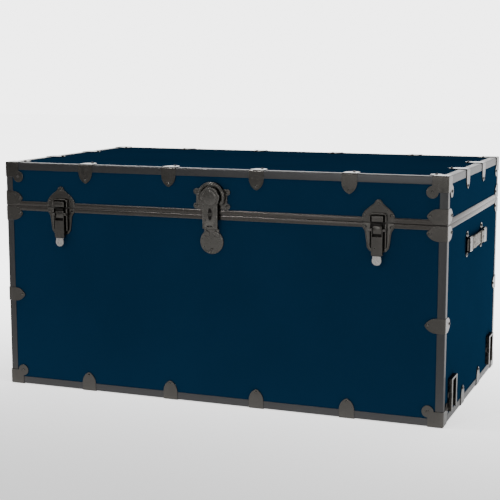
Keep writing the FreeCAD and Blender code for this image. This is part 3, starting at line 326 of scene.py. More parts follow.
def stitch_thread():
    """Pale waxed thread with a twist."""
    shader = Shader("stitch_thread", (0.33, 0.31, 0.28), 0.75)
    shader.patches(shader.noise(900, 2), (0.4, 0.7), 0.6, (0.2, 0.185, 0.16))
    shader.bump(shader.noise(2600, 2, (1, 1, 3)), 0.00006, 0.8)
    return shader.material


ROLLED = (1, 1, 14)
TRIM = steel("trim_steel", (0.027, 0.0268, 0.0272), 0.33, ROLLED, 0.55)
RIM = steel("rim_steel", (0.044, 0.0405, 0.0375), 0.3, ROLLED, 0.55)
HARDWARE = steel("hardware_steel", (0.048, 0.0455, 0.042), 0.22, (1, 1, 1), 0.55)
LOCK = steel("lock_steel", (0.068, 0.065, 0.06), 0.25)
BRIGHT = steel("bright_nickel", (0.27, 0.262, 0.25), 0.24)
# Near-black steel that stands in for shade: painted shade in the draw-bolt channels, under the
# nose, in the keyhole and in the key slot.
SHADE_PAINT = steel("shadowed_steel", (0.01, 0.0095, 0.009), 0.45)
VINYL = vinyl()
PAPER = lining_paper()
LEATHER = strap_leather()
THREAD = stitch_thread()


# ---------------------------------------------------------------- mesh helpers
WELD = 0.01 * MM
FLAT_ANGLE = math.radians(1)
SHARP_ANGLE = math.radians(30)
SOFT_ANGLE = math.radians(32)
# Angles, in degrees, above which a piece's edges stay sharp.
PLAIN_CREASE, DETAIL_CREASE, RIVET_CREASE = 35, 50, 60
# Rounding of stamped edges, in millimetres.
CAP_SOFT, BRACKET_SOFT, CLAMP_SOFT, HASP_SOFT, PLATE_SOFT, BAR_SOFT = 0.6, 0.5, 0.45, 0.4, 0.35, 0.3


def new_piece(name, mesh_data, body, materials, replaces=(), crease=PLAIN_CREASE):
    """Link a finished mesh as a piece that rides on a CAD body, or on none yet."""
    piece = bpy.data.objects.new(name, mesh_data)
    bpy.context.scene.collection.objects.link(piece)
    for material in materials:
        mesh_data.materials.append(material)
    mesh_data.shade_smooth()
    mesh_data.set_sharp_from_angle(angle=math.radians(crease))
    if body:
        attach(piece, body)
    if replaces:
        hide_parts(*replaces)
    return piece


def mesh_from(bm, name):
    """Turn a working mesh into a finished one."""
    mesh = bpy.data.meshes.new(name)
    bm.normal_update()
    bm.to_mesh(mesh)
    bm.free()
    return mesh


def join_rings(bm, rings, looped=False):
    """Faces between neighbouring rings of corners, and over the two ends unless looped."""
    following = rings[1:] + rings[:1] if looped else rings[1:]
    for first, second in zip(rings, following):
        for i in range(len(first)):
            j = (i + 1) % len(first)
            bm.faces.new((first[i], first[j], second[j], second[i]))
    if not looped:
        bm.faces.new(rings[0])
        bm.faces.new(rings[-1])


def welded(node):
    """The node's mesh with its corners merged."""
    bm = bmesh.new()
    bm.from_mesh(frame["nodes"][node].data)
    bmesh.ops.remove_doubles(bm, verts=bm.verts, dist=WELD)
    return bm


def cad_copy(node):
    """The node's mesh with its triangles joined into whole faces."""
    bm = welded(node)
    bmesh.ops.dissolve_limit(bm, angle_limit=FLAT_ANGLE, verts=bm.verts, edges=bm.edges)
    return bm


def solids(node):
    """The lowest corner, the highest corner and all points of each separate solid in a node."""
    bm = welded(node)
    boxes = []
    unseen = set(bm.verts)
    for seed in bm.verts:
        if seed not in unseen:
            continue
        unseen.remove(seed)
        stack = [seed]
        found = []
        while stack:
            vert = stack.pop()
            found.append(vert.co.copy())
            for edge in vert.link_edges:
                other = edge.other_vert(vert)
                if other in unseen:
                    unseen.remove(other)
                    stack.append(other)
        low = Vector(min(co[i] for co in found) for i in range(3))
        high = Vector(max(co[i] for co in found) for i in range(3))
        boxes.append((low, high, found))
    bm.free()
    return boxes


def pressed(node, body, material, bevel, rounded=None, painted=None):
    """Stand a softened copy of a stamped CAD node in its place.

    bevel rounds every edge, in millimetres. rounded, if given, is (test, width): edges whose
    corners pass the test are rounded first. painted, if given, is (height, material) for
    the part below a height.
    """
    bm = cad_copy(node)
    if rounded:
        test, width = rounded
        edges = [edge for edge in bm.edges if all(test(vert.co) for vert in edge.verts)
                 and edge.calc_face_angle(0) > SHARP_ANGLE]
        bmesh.ops.bevel(bm, geom=edges, offset=width * MM, segments=4, profile=0.5,
                        affect="EDGES", clamp_overlap=True)
    materials = [material]
    if painted:
        height, paint = painted
        materials.append(paint)
        whole = [*bm.verts, *bm.edges, *bm.faces]
        bmesh.ops.bisect_plane(bm, geom=whole, plane_co=(0, 0, height), plane_no=(0, 0, 1))
        for face in bm.faces:
            face.material_index = 1 if face.calc_center_median().z < height else 0
    piece = new_piece(f"{node}_pressed", mesh_from(bm, f"{node}_pressed"), body, materials,
                      (node,))
    soften(piece, bevel)
    return piece


def soften(piece, width):
    """Round every sharp edge by a width in millimetres, and keep flat faces flat."""
    modifier = piece.modifiers.new("soft_edges", "BEVEL")
    modifier.width = width * MM
    modifier.segments = 2
    modifier.limit_method = "ANGLE"
    modifier.angle_limit = SOFT_ANGLE
    modifier.use_clamp_overlap = True
    weighted = piece.modifiers.new("flat_faces", "WEIGHTED_NORMAL")
    weighted.keep_sharp = True


def revolve(bm, profile, place, outward, steps):
    """A closed turned form: (radius, height) pairs in millimetres, from the rim to the axis."""
    turn = Vector((0, 0, 1)).rotation_difference(outward).to_matrix().to_4x4()
    placed = Matrix.Translation(place) @ turn
    rings = []
    for radius, height in profile[:-1]:
        ring = []
        for i in range(steps):
            angle = 2 * math.pi * i / steps
            point = Vector((radius * math.cos(angle), radius * math.sin(angle), height))
            ring.append(bm.verts.new(placed @ (point * MM)))
        rings.append(ring)
    tip = bm.verts.new(placed @ Vector((0, 0, profile[-1][1] * MM)))
    for i in range(steps):
        j = (i + 1) % steps
        for lower, upper in zip(rings, rings[1:]):
            bm.faces.new((lower[i], lower[j], upper[j], upper[i]))
        bm.faces.new((rings[-1][i], rings[-1][j], tip))
    bm.faces.new(list(reversed(rings[0])))


# ---------------------------------------------------------------- panels and linings
def repaint(node, material):
    """Give a CAD node a material and leave its shape as it is."""
    mesh = frame["nodes"][node].data
    mesh.materials.clear()
    mesh.materials.append(material)


for body, plain_side in (("case", "bottom"), ("lid", "top")):
    for side in (plain_side, "front", "back", "left_end", "right_end"):
        repaint(f"{body}_{side}_panel", VINYL)
    repaint(f"{body}_lining", PAPER)


# ---------------------------------------------------------------- trim strips and rims
TRIM_LEG = 14 * MM
TRIM_METAL, TRIM_TURN, TRIM_LIP = 1.0 * MM, 2.2 * MM, 0.35 * MM
TURN_STEPS = 6


def angle_strip(bm, low, high, inset_ends):
    """An angle strip in a box: one long axis, its outer corner away from the trunk's middle."""
    size = high - low
    long_axis = max(range(3), key=lambda i: size[i])
    first, second = (axis for axis in range(3) if axis != long_axis)
    corner = Vector((0, 0, 0))
    ways = {}
    for axis in (first, second):
        inward_is_up = (low[axis] + high[axis]) / 2 < TRUNK_MIDDLE[axis]
        corner[axis] = low[axis] if inward_is_up else high[axis]
        ways[axis] = 1 if inward_is_up else -1
    leg = size[first]
    outline = [(leg, TRIM_METAL), (leg, TRIM_LIP), (leg - TRIM_LIP, 0)]
    for step in range(TURN_STEPS + 1):
        angle = math.pi / 2 * step / TURN_STEPS
        outline.append((TRIM_TURN * (1 - math.sin(angle)), TRIM_TURN * (1 - math.cos(angle))))
    outline += [(0, leg - TRIM_LIP), (TRIM_LIP, leg), (TRIM_METAL, leg), (TRIM_METAL, TRIM_METAL)]
    rings = []
    for end in (low[long_axis] + inset_ends, high[long_axis] - inset_ends):
        ring = []
        for across, up in outline:
            point = corner.copy()
            point[first] += ways[first] * across
            point[second] += ways[second] * up
            point[long_axis] = end
            ring.append(bm.verts.new(point))
        rings.append(ring)
    join_rings(bm, rings)


def angle_strips(node, body, inset_ends=0.0):
    """A rolled angle strip in place of each CAD strip of a node."""
    bm = bmesh.new()
    for low, high, _ in solids(node):
        angle_strip(bm, low, high, inset_ends)
    bmesh.ops.recalc_face_normals(bm, faces=bm.faces)
    name = f"{node}_strip"
    new_piece(name, mesh_from(bm, name), body, [TRIM], (node,))


for body in ("case", "lid"):
    for side in ("front", "back"):
        angle_strips(f"{body}_{side}_trim", body)
    for side in ("left", "right"):
        angle_strips(f"{body}_{side}_trim", body, TRIM_LEG)
    angle_strips(f"{body}_post_trims", body)
    repaint(f"{body}_rim_valance", TRIM)


# Out from the panels in millimetres, and the share of the band's height.
BAND_PROFILE = ((0.95, 0.0), (1.35, 0.03), (1.75, 0.16), (1.95, 0.36), (1.98, 0.55), (1.85, 0.76),
                (1.5, 0.94), (0.95, 1.0))
PANEL_ROUND = 1.2 * MM
CORNER_STEPS = 4


def rim_bead(name, body, low, high):
    """A half-round steel band round the trunk between two heights."""
    bm = bmesh.new()
    loops = []
    for out, share in BAND_PROFILE:
        radius = out * MM + PANEL_ROUND
        height = low + (high - low) * share
        loop = []
        for x_way, y_way, start in ((1, 1, 0), (-1, 1, 90), (-1, -1, 180), (1, -1, 270)):
            pivot = Vector((x_way * (RIGHT_X - PANEL_ROUND), 0, height))
            pivot.y = BACK_Y - PANEL_ROUND if y_way > 0 else FRONT_Y + PANEL_ROUND
            for step in range(CORNER_STEPS + 1):
                angle = math.radians(start + 90 * step / CORNER_STEPS)
                outward = Vector((math.cos(angle), math.sin(angle), 0))
                loop.append(bm.verts.new(pivot + outward * radius))
        loops.append(loop)
    join_rings(bm, loops, looped=True)
    bmesh.ops.recalc_face_normals(bm, faces=bm.faces)
    new_piece(name, mesh_from(bm, name), body, [RIM])


CASE_RIM_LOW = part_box("case_rim_valance")[0].z
LID_RIM_LOW, LID_RIM_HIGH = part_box("lid_rim_valance")
rim_bead("case_rim_bead", "case", CASE_RIM_LOW, SEAM_Z)
rim_bead("lid_rim_bead", "lid", LID_RIM_LOW.z, LID_RIM_HIGH.z)


# ---------------------------------------------------------------- stamped hardware
TOUCH = 0.05 * MM
WRAP_RADIUS = 2.8


def on_trunk_edge(node, body=None):
    """A test for mesh corners where two outer sides of the trunk meet.

    The upright sides always count; the underside of the case or the top of the lid counts
    only when the body is given.
    """
    low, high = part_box(node)

    def test(co):
        gaps = [min(co[axis] - low[axis], high[axis] - co[axis]) for axis in (0, 1)]
        if body:
            gaps.append(co.z - low.z if body == "case" else high.z - co.z)
        return sum(gap < TOUCH for gap in gaps) >= 2

    return test


for body in ("case", "lid"):
    for kind, bevel in (("corner_caps", CAP_SOFT), ("edge_clamps", CLAMP_SOFT)):
        node = f"{body}_{kind}"
        pressed(node, body, HARDWARE, bevel,
                (on_trunk_edge(node, body), WRAP_RADIUS))
    node = f"{body}_rim_clamps"
    pressed(node, body, HARDWARE, CLAMP_SOFT, (on_trunk_edge(node), WRAP_RADIUS))
    pressed(f"{body}_hinge_leaves", body, HARDWARE, PLATE_SOFT)
    pressed(f"{body}_stay_brackets", body, HARDWARE, BAR_SOFT)
pressed("case_post_clamps", "case", HARDWARE, CLAMP_SOFT,
        (on_trunk_edge("case_post_clamps"), WRAP_RADIUS))
pressed("hinge_pins", "case", BRIGHT, BAR_SOFT)
pressed("wheel_brackets", "case", HARDWARE, BRACKET_SOFT)
for side in ("left", "right"):
    pressed(f"{side}_stay_arm", f"{side}_stay", HARDWARE, BAR_SOFT)


# ---------------------------------------------------------------- shapes on the front and ends
OUT_FRONT = Vector((0, -1, 0))
OUT_RIGHT = Vector((1, 0, 0))


def at_front(across, up, out):
    """A point in millimetres: across from the middle, above the floor, out from the front."""
    return Vector((across * MM, FRONT_Y - out * MM, up * MM))


def at_right(across, up, out):
    """A point in millimetres: behind the middle, above the floor, out from the right end."""
    return Vector((RIGHT_X + out * MM, CASE_MID_Y + across * MM, up * MM))


def farther_out(out):
    """A test for mesh corners farther in front of the front panel than so many millimetres."""
    return lambda co: (FRONT_Y - co.y) / MM > out


def arc(centre, radius, start, end, out, steps):
    """Points on the front along an arc, by angles in degrees from the right, anticlockwise."""
    across, up = centre
    angles = [math.radians(start + (end - start) * i / steps) for i in range(steps + 1)]
    return [at_front(across + radius * math.cos(angle), up + radius * math.sin(angle), out)
            for angle in angles]


def bead(bm, path, radius, outward=OUT_FRONT, closed=False, steps=6):
    """A half-round bead along a path on a flat face."""
    count = len(path)
    rings = []
    for i, point in enumerate(path):
        after = path[(i + 1) % count] if closed or i + 1 < count else point
        before = path[i - 1] if closed or i > 0 else point
        side = (after - before).normalized().cross(outward)
        ring = []
        for step in range(steps + 1):
            angle = math.pi * step / steps
            turned = side * math.cos(angle) + outward * math.sin(angle)
            ring.append(bm.verts.new(point + turned * radius * MM))
        rings.append(ring)
    join_rings(bm, rings, closed)


def slab(bm, low, high):
    """A plain box between two corners, for small inner parts."""
    middle, size = (low + high) / 2, high - low
    made = bmesh.ops.create_cube(bm, size=1)
    for vert in made["verts"]:
        vert.co = Vector(middle[i] + vert.co[i] * abs(size[i]) for i in range(3))


def finish_detail(bm, name, body, material, replaces=()):
    """Turn the mesh into a piece of one material."""
    bmesh.ops.recalc_face_normals(bm, faces=bm.faces)
    return new_piece(name, mesh_from(bm, name), body, [material], replaces, DETAIL_CREASE)


# ---------------------------------------------------------------- draw bolts
# Sizes are in millimetres. Heights are above the seam.
SEAM_MM = SEAM_Z / MM
BOLT_PLACES = {"left": -329.0, "right": 329.0}
NOSE_OUT, NOSE_ROUND = 11.2, 2.6
LEVER_OUT, LEVER_ROUND = 10.2, 1.2
TAB_TOP = -61.0
PLATE_OUT = 2.1
RIM_RADIUS = 0.75
FLOOR_ACROSS, FLOOR_OUT = 13.8, 2.5
FLOORS = {"case": (-45.5, -0.8), "lid": (0.8, 15.5)}
WALL_ACROSS, WALL_OUT, WALL_RADIUS = 15.0, 6.2, 1.5
WALL_START, WALL_END = 1.8, 40.0
ROLL_IN, ROLL_DROP, ROLL_BACK = 3.5, 7.0, 3.4
ARCH_TOP, ARCH_CORNER = 16.6, 4.0
ARCH_BAR_ACROSS, ARCH_BAR_LOW, ARCH_BAR_HIGH, ARCH_BAR_OUT = 11.0, 15.4, 17.4, 6.3
# Right half of each plate's rim, from the seam outwards: across and above the seam.
CATCH_RIM = [(28.9, 1.6), (28.9, 13.6), (24.0, 20.9), (9.4, 32.4)]
CROWN_MIDDLE, CROWN_RIM, CROWN_ARC = 34.5, 6.5, (-12, 192)
BASE_RIM = [(28.9, -1.6), (28.9, -7.7), (23.5, -16.6), (19.6, -45.5), (15.0, -51.2), (8.6, -53.5)]
LINK_ACROSS, LINK_LOW, LINK_HIGH, LINK_IN, LINK_OUT = 8.8, -20.5, -5.5, 5.6, 9.2
LINK_ROUND = 1.1
LINK_PIN = [(2.3, 0.0), (2.3, 1.2), (1.9, 1.7), (0, 1.8)]
LINK_PIN_PLACE = (8.7, -21.0, 8.0)
HOOK_ACROSS, HOOK_LOW, HOOK_HIGH, HOOK_IN, HOOK_OUT = 7.2, -8.0, -1.2, 6.0, 7.2
DIMPLE = [(0.75, 0.0), (0.75, 0.12), (0, 0.14)]
DIMPLE_FIRST, DIMPLE_PITCH, DIMPLE_HEIGHT, DIMPLE_OUT = -4.8, 3.2, -8.4, 9.1


def at_bolt(middle, across, up, out):
    """A point in millimetres about one draw bolt: up is above the seam."""
    return at_front(middle + across, SEAM_MM + up, out)


def plate_rim(middle, half, far_end):
    """A rim path: out along the right half, round the far end and back along the left half."""
    right = [at_bolt(middle, across, up, PLATE_OUT) for across, up in half]
    left = [at_bolt(middle, -across, up, PLATE_OUT) for across, up in reversed(half)]
    return right + far_end + left


def channel_floor(side, middle, body):
    """The floor of one body's side of the channel, painted near-black as the shade inside the
    channel.
    """
    low, high = FLOORS[body]
    bm = bmesh.new()
    slab(bm, at_bolt(middle, -FLOOR_ACROSS, low, PLATE_OUT),
         at_bolt(middle, FLOOR_ACROSS, high, FLOOR_OUT))
    finish_detail(bm, f"{side}_bolt_{body}_floor", body, SHADE_PAINT)


def case_walls(side, middle):
    """Walls that roll in and back at their lower ends, and the rim of the base plate."""
    bm = bmesh.new()
    for way in (-1, 1):
        wall = way * WALL_ACROSS
        path = [at_bolt(middle, wall, -WALL_START, WALL_OUT),
                at_bolt(middle, wall, -WALL_END, WALL_OUT)]
        for degrees in range(15, 91, 15):
            angle = math.radians(degrees)
            turned = 1 - math.cos(angle)
            path.append(at_bolt(middle, wall - way * ROLL_IN * turned,
                                -WALL_END - ROLL_DROP * math.sin(angle),
                                WALL_OUT - ROLL_BACK * turned))
        bead(bm, path, WALL_RADIUS)
    bead(bm, plate_rim(middle, BASE_RIM, []), RIM_RADIUS)
    finish_detail(bm, f"{side}_bolt_case_walls", "case", HARDWARE)


def lid_walls(side, middle):
    """Walls that close in an arch over the nose, and the rim of the catch plate."""
    bm = bmesh.new()
    corner_up = SEAM_MM + ARCH_TOP - ARCH_CORNER
    reach = WALL_ACROSS - ARCH_CORNER
    left = arc((middle - reach, corner_up), ARCH_CORNER, 180, 90, WALL_OUT, 6)
    right = arc((middle + reach, corner_up), ARCH_CORNER, 90, 0, WALL_OUT, 6)
    path = [at_bolt(middle, -WALL_ACROSS, WALL_START, WALL_OUT), *left, *right,
            at_bolt(middle, WALL_ACROSS, WALL_START, WALL_OUT)]
    bead(bm, path, WALL_RADIUS)
    slab(bm, at_bolt(middle, -ARCH_BAR_ACROSS, ARCH_BAR_LOW, PLATE_OUT),
         at_bolt(middle, ARCH_BAR_ACROSS, ARCH_BAR_HIGH, ARCH_BAR_OUT))
    crown = arc((middle, SEAM_MM + CROWN_MIDDLE), CROWN_RIM, *CROWN_ARC, PLATE_OUT, 16)
    bead(bm, plate_rim(middle, CATCH_RIM, crown), RIM_RADIUS)
    finish_detail(bm, f"{side}_bolt_lid_walls", "lid", HARDWARE)


def link(side, middle):
    """A block with a pin end on each side, and a thin hook that reaches under the nose, painted
    near-black as the shade in the gap there; four dimples on the block are painted near-black as
    shade too.
    """
    body = f"{side}_bolt_link"
    bm = bmesh.new()
    slab(bm, at_bolt(middle, -LINK_ACROSS, LINK_LOW, LINK_IN),
         at_bolt(middle, LINK_ACROSS, LINK_HIGH, LINK_OUT))
    bmesh.ops.bevel(bm, geom=bm.edges[:], offset=LINK_ROUND * MM, segments=3, profile=0.5,
                    affect="EDGES")
    across, up, out = LINK_PIN_PLACE
    for way in (-1, 1):
        revolve(bm, LINK_PIN, at_bolt(middle, way * across, up, out), Vector((way, 0, 0)), 16)
    finish_detail(bm, f"{side}_bolt_link_block", body, HARDWARE,
                  (f"{side}_draw_bolt_link",))
    # The hook and the four dimples on the block are painted shade.
    bm = bmesh.new()
    slab(bm, at_bolt(middle, -HOOK_ACROSS, HOOK_LOW, HOOK_IN),
         at_bolt(middle, HOOK_ACROSS, HOOK_HIGH, HOOK_OUT))
    for step in range(4):
        place = at_bolt(middle, DIMPLE_FIRST + DIMPLE_PITCH * step, DIMPLE_HEIGHT, DIMPLE_OUT)
        revolve(bm, DIMPLE, place, OUT_FRONT, 10)
    finish_detail(bm, f"{side}_bolt_link_hook", body, SHADE_PAINT)


for side, middle in BOLT_PLACES.items():
    pressed(f"{side}_draw_bolt_catch", "lid", HARDWARE, PLATE_SOFT,
            (farther_out(NOSE_OUT), NOSE_ROUND))
    pressed(f"{side}_draw_bolt_base", "case", HARDWARE, PLATE_SOFT)
    pressed(f"{side}_draw_bolt_lever", f"{side}_bolt_lever", HARDWARE, PLATE_SOFT,
            (farther_out(LEVER_OUT), LEVER_ROUND), ((SEAM_MM + TAB_TOP) * MM, BRIGHT))
    channel_floor(side, middle, "case")
    case_walls(side, middle)
    channel_floor(side, middle, "lid")
    lid_walls(side, middle)
    link(side, middle)


# ---------------------------------------------------------------- lock
# Sizes are in millimetres. Heights are above the floor.
HEAD, HEAD_OUT = (0.0, 408.0), 12.4
HEAD_RIM, HEAD_ARC, HEAD_BEAD = 18.2, (-48, 228), 1.3
HEAD_DISC = [(14.5, 0.0), (14.2, 0.5), (13.2, 0.9), (11.5, 1.05), (6.0, 1.2), (0, 1.25)]
HASP_OUT, HASP_ROUND = 12.3, 1.1
SHANK_OUT, SHANK_ACROSS, SHANK_LOW, SHANK_HIGH = 10.9, 14.2, 355, 394
SHANK_BEAD = 0.55
SHANK_STUD = [(1.9, 0.0), (1.8, 0.5), (1.2, 1.0), (0, 1.2)]
STUD_ACROSS, STUD_UP = 10.2, 361
KEYHOLE_Z = 376.0
# Half width, half height and place out from the front.
KEYHOLE_RIM, KEYHOLE = (4.6, 12.0, 10.95), (4.3, 11.6, 11.06)
KEYHOLE_BEAD, LENS_STEPS = 0.5, 14
PLUG_FACE = [(3.4, 0.0), (3.4, 0.5), (3.0, 0.75), (2.2, 0.6), (0, 0.6)]
PLUG_OUT = 11.0
SLOT_ACROSS, SLOT_UP, SLOT_IN, SLOT_OUT = 0.55, 2.4, 11.3, 11.68
FOOT_CUP = [(6.4, 0.0), (6.4, 0.5), (5.9, 1.9), (5.0, 2.3), (4.2, 1.9), (3.6, 1.0), (1.4, 0.8),
            (0.9, 1.2), (0, 1.3)]
CUP_ACROSS, CUP_UP, CUP_OUT = 10, 337, 2.5
BARS_UP, BAR_ACROSS, BAR_OUT, BAR_BEAD = (343.0, 346.2), 12.5, 2.6, 0.9
FOOT, FOOT_OUT = (0, 322), 2.3
FOOT_RIM, FOOT_ARC, FOOT_BEAD = 21.4, (152, 388), 0.8
KEEPER, KEEPER_OUT = (0, 409), 7.9
KEEPER_RIM, KEEPER_ARC, KEEPER_BEAD = 25.2, (-22, 202), 1.5
KEEPER_FACE, KEEPER_ROUND = 7.8, 2.4


def lens(half_width, half_height, out):
    """An eye-shaped outline about the keyhole."""
    outline = []
    for way, first, last in ((1, 0, LENS_STEPS), (-1, 1, LENS_STEPS - 1)):
        for i in range(first, last + 1):
            angle = math.pi * i / LENS_STEPS
            outline.append(at_front(way * half_width * math.sin(angle),
                                    KEYHOLE_Z + way * half_height * math.cos(angle), out))
    return outline


pressed("lock_foot_plate", "case", LOCK, PLATE_SOFT)
pressed("lock_keeper", "lid", LOCK, PLATE_SOFT,
        (farther_out(KEEPER_FACE), KEEPER_ROUND))
pressed("lock_hasp", "hasp", LOCK, HASP_SOFT, (farther_out(HASP_OUT), HASP_ROUND))

bm = bmesh.new()
bead(bm, arc(HEAD, HEAD_RIM, *HEAD_ARC, HEAD_OUT, 44), HEAD_BEAD)
revolve(bm, HEAD_DISC, at_front(*HEAD, HEAD_OUT), OUT_FRONT, 40)
for way in (-1, 1):
    edge = way * SHANK_ACROSS
    bead(bm, [at_front(edge, up, SHANK_OUT) for up in (SHANK_LOW, SHANK_HIGH)], SHANK_BEAD)
    revolve(bm, SHANK_STUD, at_front(way * STUD_ACROSS, STUD_UP, SHANK_OUT), OUT_FRONT, 16)
bead(bm, lens(*KEYHOLE_RIM), KEYHOLE_BEAD, closed=True)
finish_detail(bm, "lock_hasp_relief", "hasp", LOCK)

# A flat eye-shaped face in the keyhole, painted near-black as the shade inside it.
bm = bmesh.new()
bm.faces.new([bm.verts.new(point) for point in lens(*KEYHOLE)])
finish_detail(bm, "lock_keyhole_recess", "hasp", SHADE_PAINT)

bm = bmesh.new()
revolve(bm, PLUG_FACE, at_front(0, KEYHOLE_Z, PLUG_OUT), OUT_FRONT, 24)
finish_detail(bm, "lock_plug_face", "key_plug", HARDWARE, ("lock_plug",))
# The key slot: a thin box painted near-black as the shade in the slot.
bm = bmesh.new()
slab(bm, at_front(-SLOT_ACROSS, KEYHOLE_Z - SLOT_UP, SLOT_IN),
     at_front(SLOT_ACROSS, KEYHOLE_Z + SLOT_UP, SLOT_OUT))
finish_detail(bm, "lock_key_slot", "key_plug", SHADE_PAINT)

bm = bmesh.new()
for way in (-1, 1):
    revolve(bm, FOOT_CUP, at_front(way * CUP_ACROSS, CUP_UP, CUP_OUT), OUT_FRONT, 28)
for up in BARS_UP:
    bead(bm, [at_front(way * BAR_ACROSS, up, BAR_OUT) for way in (-1, 1)], BAR_BEAD)
bead(bm, arc(FOOT, FOOT_RIM, *FOOT_ARC, FOOT_OUT, 44), FOOT_BEAD)
finish_detail(bm, "lock_foot_relief", "case", LOCK)

bm = bmesh.new()
bead(bm, arc(KEEPER, KEEPER_RIM, *KEEPER_ARC, KEEPER_OUT, 48), KEEPER_BEAD)
finish_detail(bm, "lock_keeper_rim", "lid", LOCK)
repaint("lock_bolt", BRIGHT)
repaint("lock_hinge_pin", LOCK)


# ---------------------------------------------------------------- handles
# Sizes are in millimetres.
HANDLE_Z = 316.0
STRAP_TIP, STRAP_IN, STRAP_OUT, STRAP_HALF = 84.0, 4.3, 8.3, 12.0
STRAP_ROUND = 1.3
STRAP_STATIONS = (0, 7, 14, 21, 28, 35, 42, 49, 57, 70, STRAP_TIP)
BAND_NEAR, BAND_FAR, BAND_OUT, BAND_RIVET = 29.0, 56.0, 10.6, 43.0
BAND_STATIONS = (BAND_NEAR, 33, 38, 43, 48, 52, BAND_FAR)
BAND_SUNK, BAND_NARROWER = 0.6, 0.3
RIVET_HEAD = [(3.4, 0.0), (3.3, 0.5), (2.4, 1.1), (1.2, 1.4), (0, 1.5)]
RIVET_SUNK = 0.2
STITCH_PITCH, STITCH_LENGTH, STITCH_RADIUS = 4.2, 2.9, 0.5
STITCH_ROW, STITCH_START, STITCH_SUNK = 9.4, 1.0, 0.1
STITCH_SHARES = (0, 0.25, 0.75, 1)
BLEND_START, BLEND_END, BLEND_OUT = 58, 6, 6
LOOP_PLACE = 72.0
LOOP_SKIN = 0.75
# Upper half of a loop's middle line: out from the end, above the strap's middle, half width.
LOOP_PATH = [(0.75, 25.0, 1.5), (0.75, 24.7, 3.4), (0.75, 23.9, 5.4), (0.75, 22.6, 7.0),
             (0.75, 20.8, 8.2), (0.75, 18.6, 8.6), (0.8, 17.0, 8.8), (1.25, 15.8, 9.3),
             (2.2, 14.9, 10.2), (3.4, 14.4, 11.3), (5.6, 14.25, 12.6), (7.4, 14.2, 13.1),
             (8.5, 13.7, 13.25), (9.1, 12.8, 13.25), (9.25, 11.6, 13.25), (9.25, 4.0, 13.25)]
LOOP_COLUMNS = (-1, -0.96, -0.82, -0.5, 0, 0.5, 0.82, 0.96, 1)
BRIDGE_HALF, BRIDGE_FLARE = 13, 0.5
BOW = 1.1


def bow(along):
    """How far the strap stands out at a distance from its middle."""
    share = min(1.0, abs(along) / BAND_FAR)
    return BOW * (1 + math.cos(math.pi * share)) / 2


def strap_ring(bm, along, inner, outer, half):
    """A rounded cross-section of the strap."""
    ring = []
    for way_out, way_up, start in ((1, 1, 0), (-1, 1, 90), (-1, -1, 180), (1, -1, 270)):
        corner_out = outer - STRAP_ROUND if way_out > 0 else inner + STRAP_ROUND
        corner_up = HANDLE_Z + way_up * (half - STRAP_ROUND)
        for step in range(4):
            angle = math.radians(start + 30 * step)
            ring.append(bm.verts.new(at_right(along, corner_up + STRAP_ROUND * math.sin(angle),
                                              corner_out + STRAP_ROUND * math.cos(angle))))
    return ring


def strap_run(bm, stations, inner, outer, half):
    """A length of strap through stations along it."""
    join_rings(bm, [strap_ring(bm, along, inner + bow(along), outer + bow(along), half)
                    for along in stations])


def stitches(bm, way):
    """Two rows of short stitches along one half of a strap."""
    for up in (-STITCH_ROW, STITCH_ROW):
        along = STITCH_START
        while along < BAND_FAR:
            on_band = along + STITCH_LENGTH > BAND_NEAR
            out = (BAND_OUT if on_band else STRAP_OUT) + bow(along) - STITCH_SUNK
            row = [at_right(way * (along + STITCH_LENGTH * share), HANDLE_Z + up, out)
                   for share in STITCH_SHARES]
            bead(bm, row, STITCH_RADIUS, OUT_RIGHT, steps=5)
            along += STITCH_PITCH


def to_side(bm, side):
    """Mirror what was drawn on the right end over to the left end."""
    if side == "left":
        for vert in bm.verts:
            vert.co.x = -vert.co.x


def sheet(bm, rows):
    """Faces between neighbouring rows of corners."""
    for first, second in zip(rows, rows[1:]):
        for j in range(len(first) - 1):
            bm.faces.new((first[j], first[j + 1], second[j + 1], second[j]))


def handle_loop(bm, place):
    """One pressed loop: round feet, filleted walls and a bridge over the strap."""
    path = LOOP_PATH + [(out, -up, half) for out, up, half in reversed(LOOP_PATH)]
    skins = {LOOP_SKIN: [], -LOOP_SKIN: []}
    for i, (out, up, half) in enumerate(path):
        after, before = path[min(i + 1, len(path) - 1)], path[max(i - 1, 0)]
        run = Vector((after[0] - before[0], after[1] - before[1])).normalized()
        normal = Vector((-run.y, run.x))
        for offset, rows in skins.items():
            row = []
            for share in LOOP_COLUMNS:
                flared = half > BRIDGE_HALF and offset > 0
                shift = offset + (BRIDGE_FLARE * abs(share) ** 6 if flared else 0)
                row.append(bm.verts.new(at_right(place + half * share,
                                                 HANDLE_Z + up + normal.y * shift,
                                                 out + normal.x * shift)))
            rows.append(row)
    outer_rows, inner_rows = skins.values()
    sheet(bm, outer_rows)
    sheet(bm, inner_rows)
    for edge in (0, -1):
        sheet(bm, [[row[edge] for row in outer_rows], [row[edge] for row in inner_rows]])
        sheet(bm, [outer_rows[edge], inner_rows[edge]])


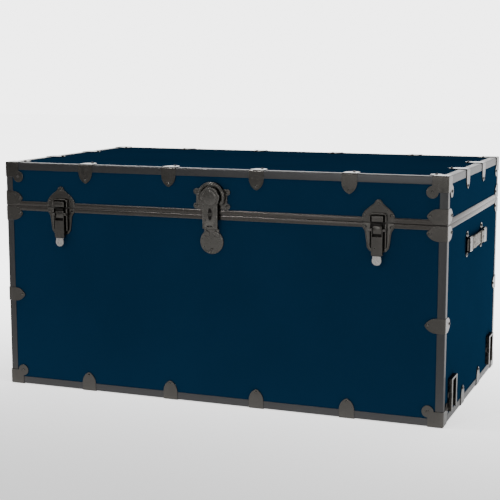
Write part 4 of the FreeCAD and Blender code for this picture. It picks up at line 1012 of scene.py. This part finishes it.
def strap_handle(side):
    """A stitched strap in two halves, one towards the front and one towards the rear."""
    mirror = 1 if side == "right" else -1
    for end, way in (("front", -1), ("rear", 1)):
        name = f"{side}_{end}"
        strap, thread, rivet = (bmesh.new() for _ in range(3))
        strap_run(strap, [way * along for along in STRAP_STATIONS], STRAP_IN, STRAP_OUT, STRAP_HALF)
        strap_run(strap, [way * along for along in BAND_STATIONS], STRAP_OUT - BAND_SUNK, BAND_OUT,
                  STRAP_HALF - BAND_NARROWER)
        stitches(thread, way)
        rivet_out = BAND_OUT + bow(BAND_RIVET) - RIVET_SUNK
        revolve(rivet, RIVET_HEAD, at_right(way * BAND_RIVET, HANDLE_Z, rivet_out), OUT_RIGHT, 20)
        for bm in (strap, thread, rivet):
            to_side(bm, side)
        parts = [finish_detail(strap, f"{name}_strap", None, LEATHER,
                               ("strap_ends", f"{side}_handle_grip")),
                 finish_detail(thread, f"{name}_stitches", None, THREAD),
                 finish_detail(rivet, f"{name}_strap_rivet", None, HARDWARE)]
        start, finish = (at_right(way * along, HANDLE_Z, BLEND_OUT)
                         for along in (BLEND_START, BLEND_END))
        start.x *= mirror
        finish.x *= mirror
        for part in parts:
            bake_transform(part)


for side in ("right", "left"):
    bm = bmesh.new()
    for place in (-LOOP_PLACE, LOOP_PLACE):
        handle_loop(bm, place)
    to_side(bm, side)
    loops = finish_detail(bm, f"{side}_handle_loops", "case", HARDWARE,
                          ("handle_loops",))
    soften(loops, BAR_SOFT)
for side in ("left", "right"):
    strap_handle(side)


# ---------------------------------------------------------------- rivets
DOME = [(3.3, 0.0), (3.3, 0.2), (3.0, 0.42), (2.6, 0.5), (2.45, 0.75), (2.0, 1.25), (1.3, 1.6),
        (0.6, 1.75), (0, 1.8)]


def domed_rivets(node, body):
    """Domed heads with a thin collar, standing where each CAD rivet stands."""
    bm = bmesh.new()
    for low, high, points in solids(node):
        size = high - low
        axis = min(range(3), key=lambda i: size[i])
        middle = (low + high) / 2
        base_spread = sum((co - middle).length for co in points if co[axis] < middle[axis])
        tip_spread = sum((co - middle).length for co in points if co[axis] > middle[axis])
        outward = Vector((0, 0, 0))
        outward[axis] = 1 if base_spread > tip_spread else -1
        foot = middle.copy()
        foot[axis] = low[axis] if outward[axis] > 0 else high[axis]
        revolve(bm, DOME, foot, outward, 20)
    name = f"{node}_domes"
    new_piece(name, mesh_from(bm, name), body, [HARDWARE], (node,),
              RIVET_CREASE)


for body in ("case", "lid"):
    domed_rivets(f"{body}_rivets", body)
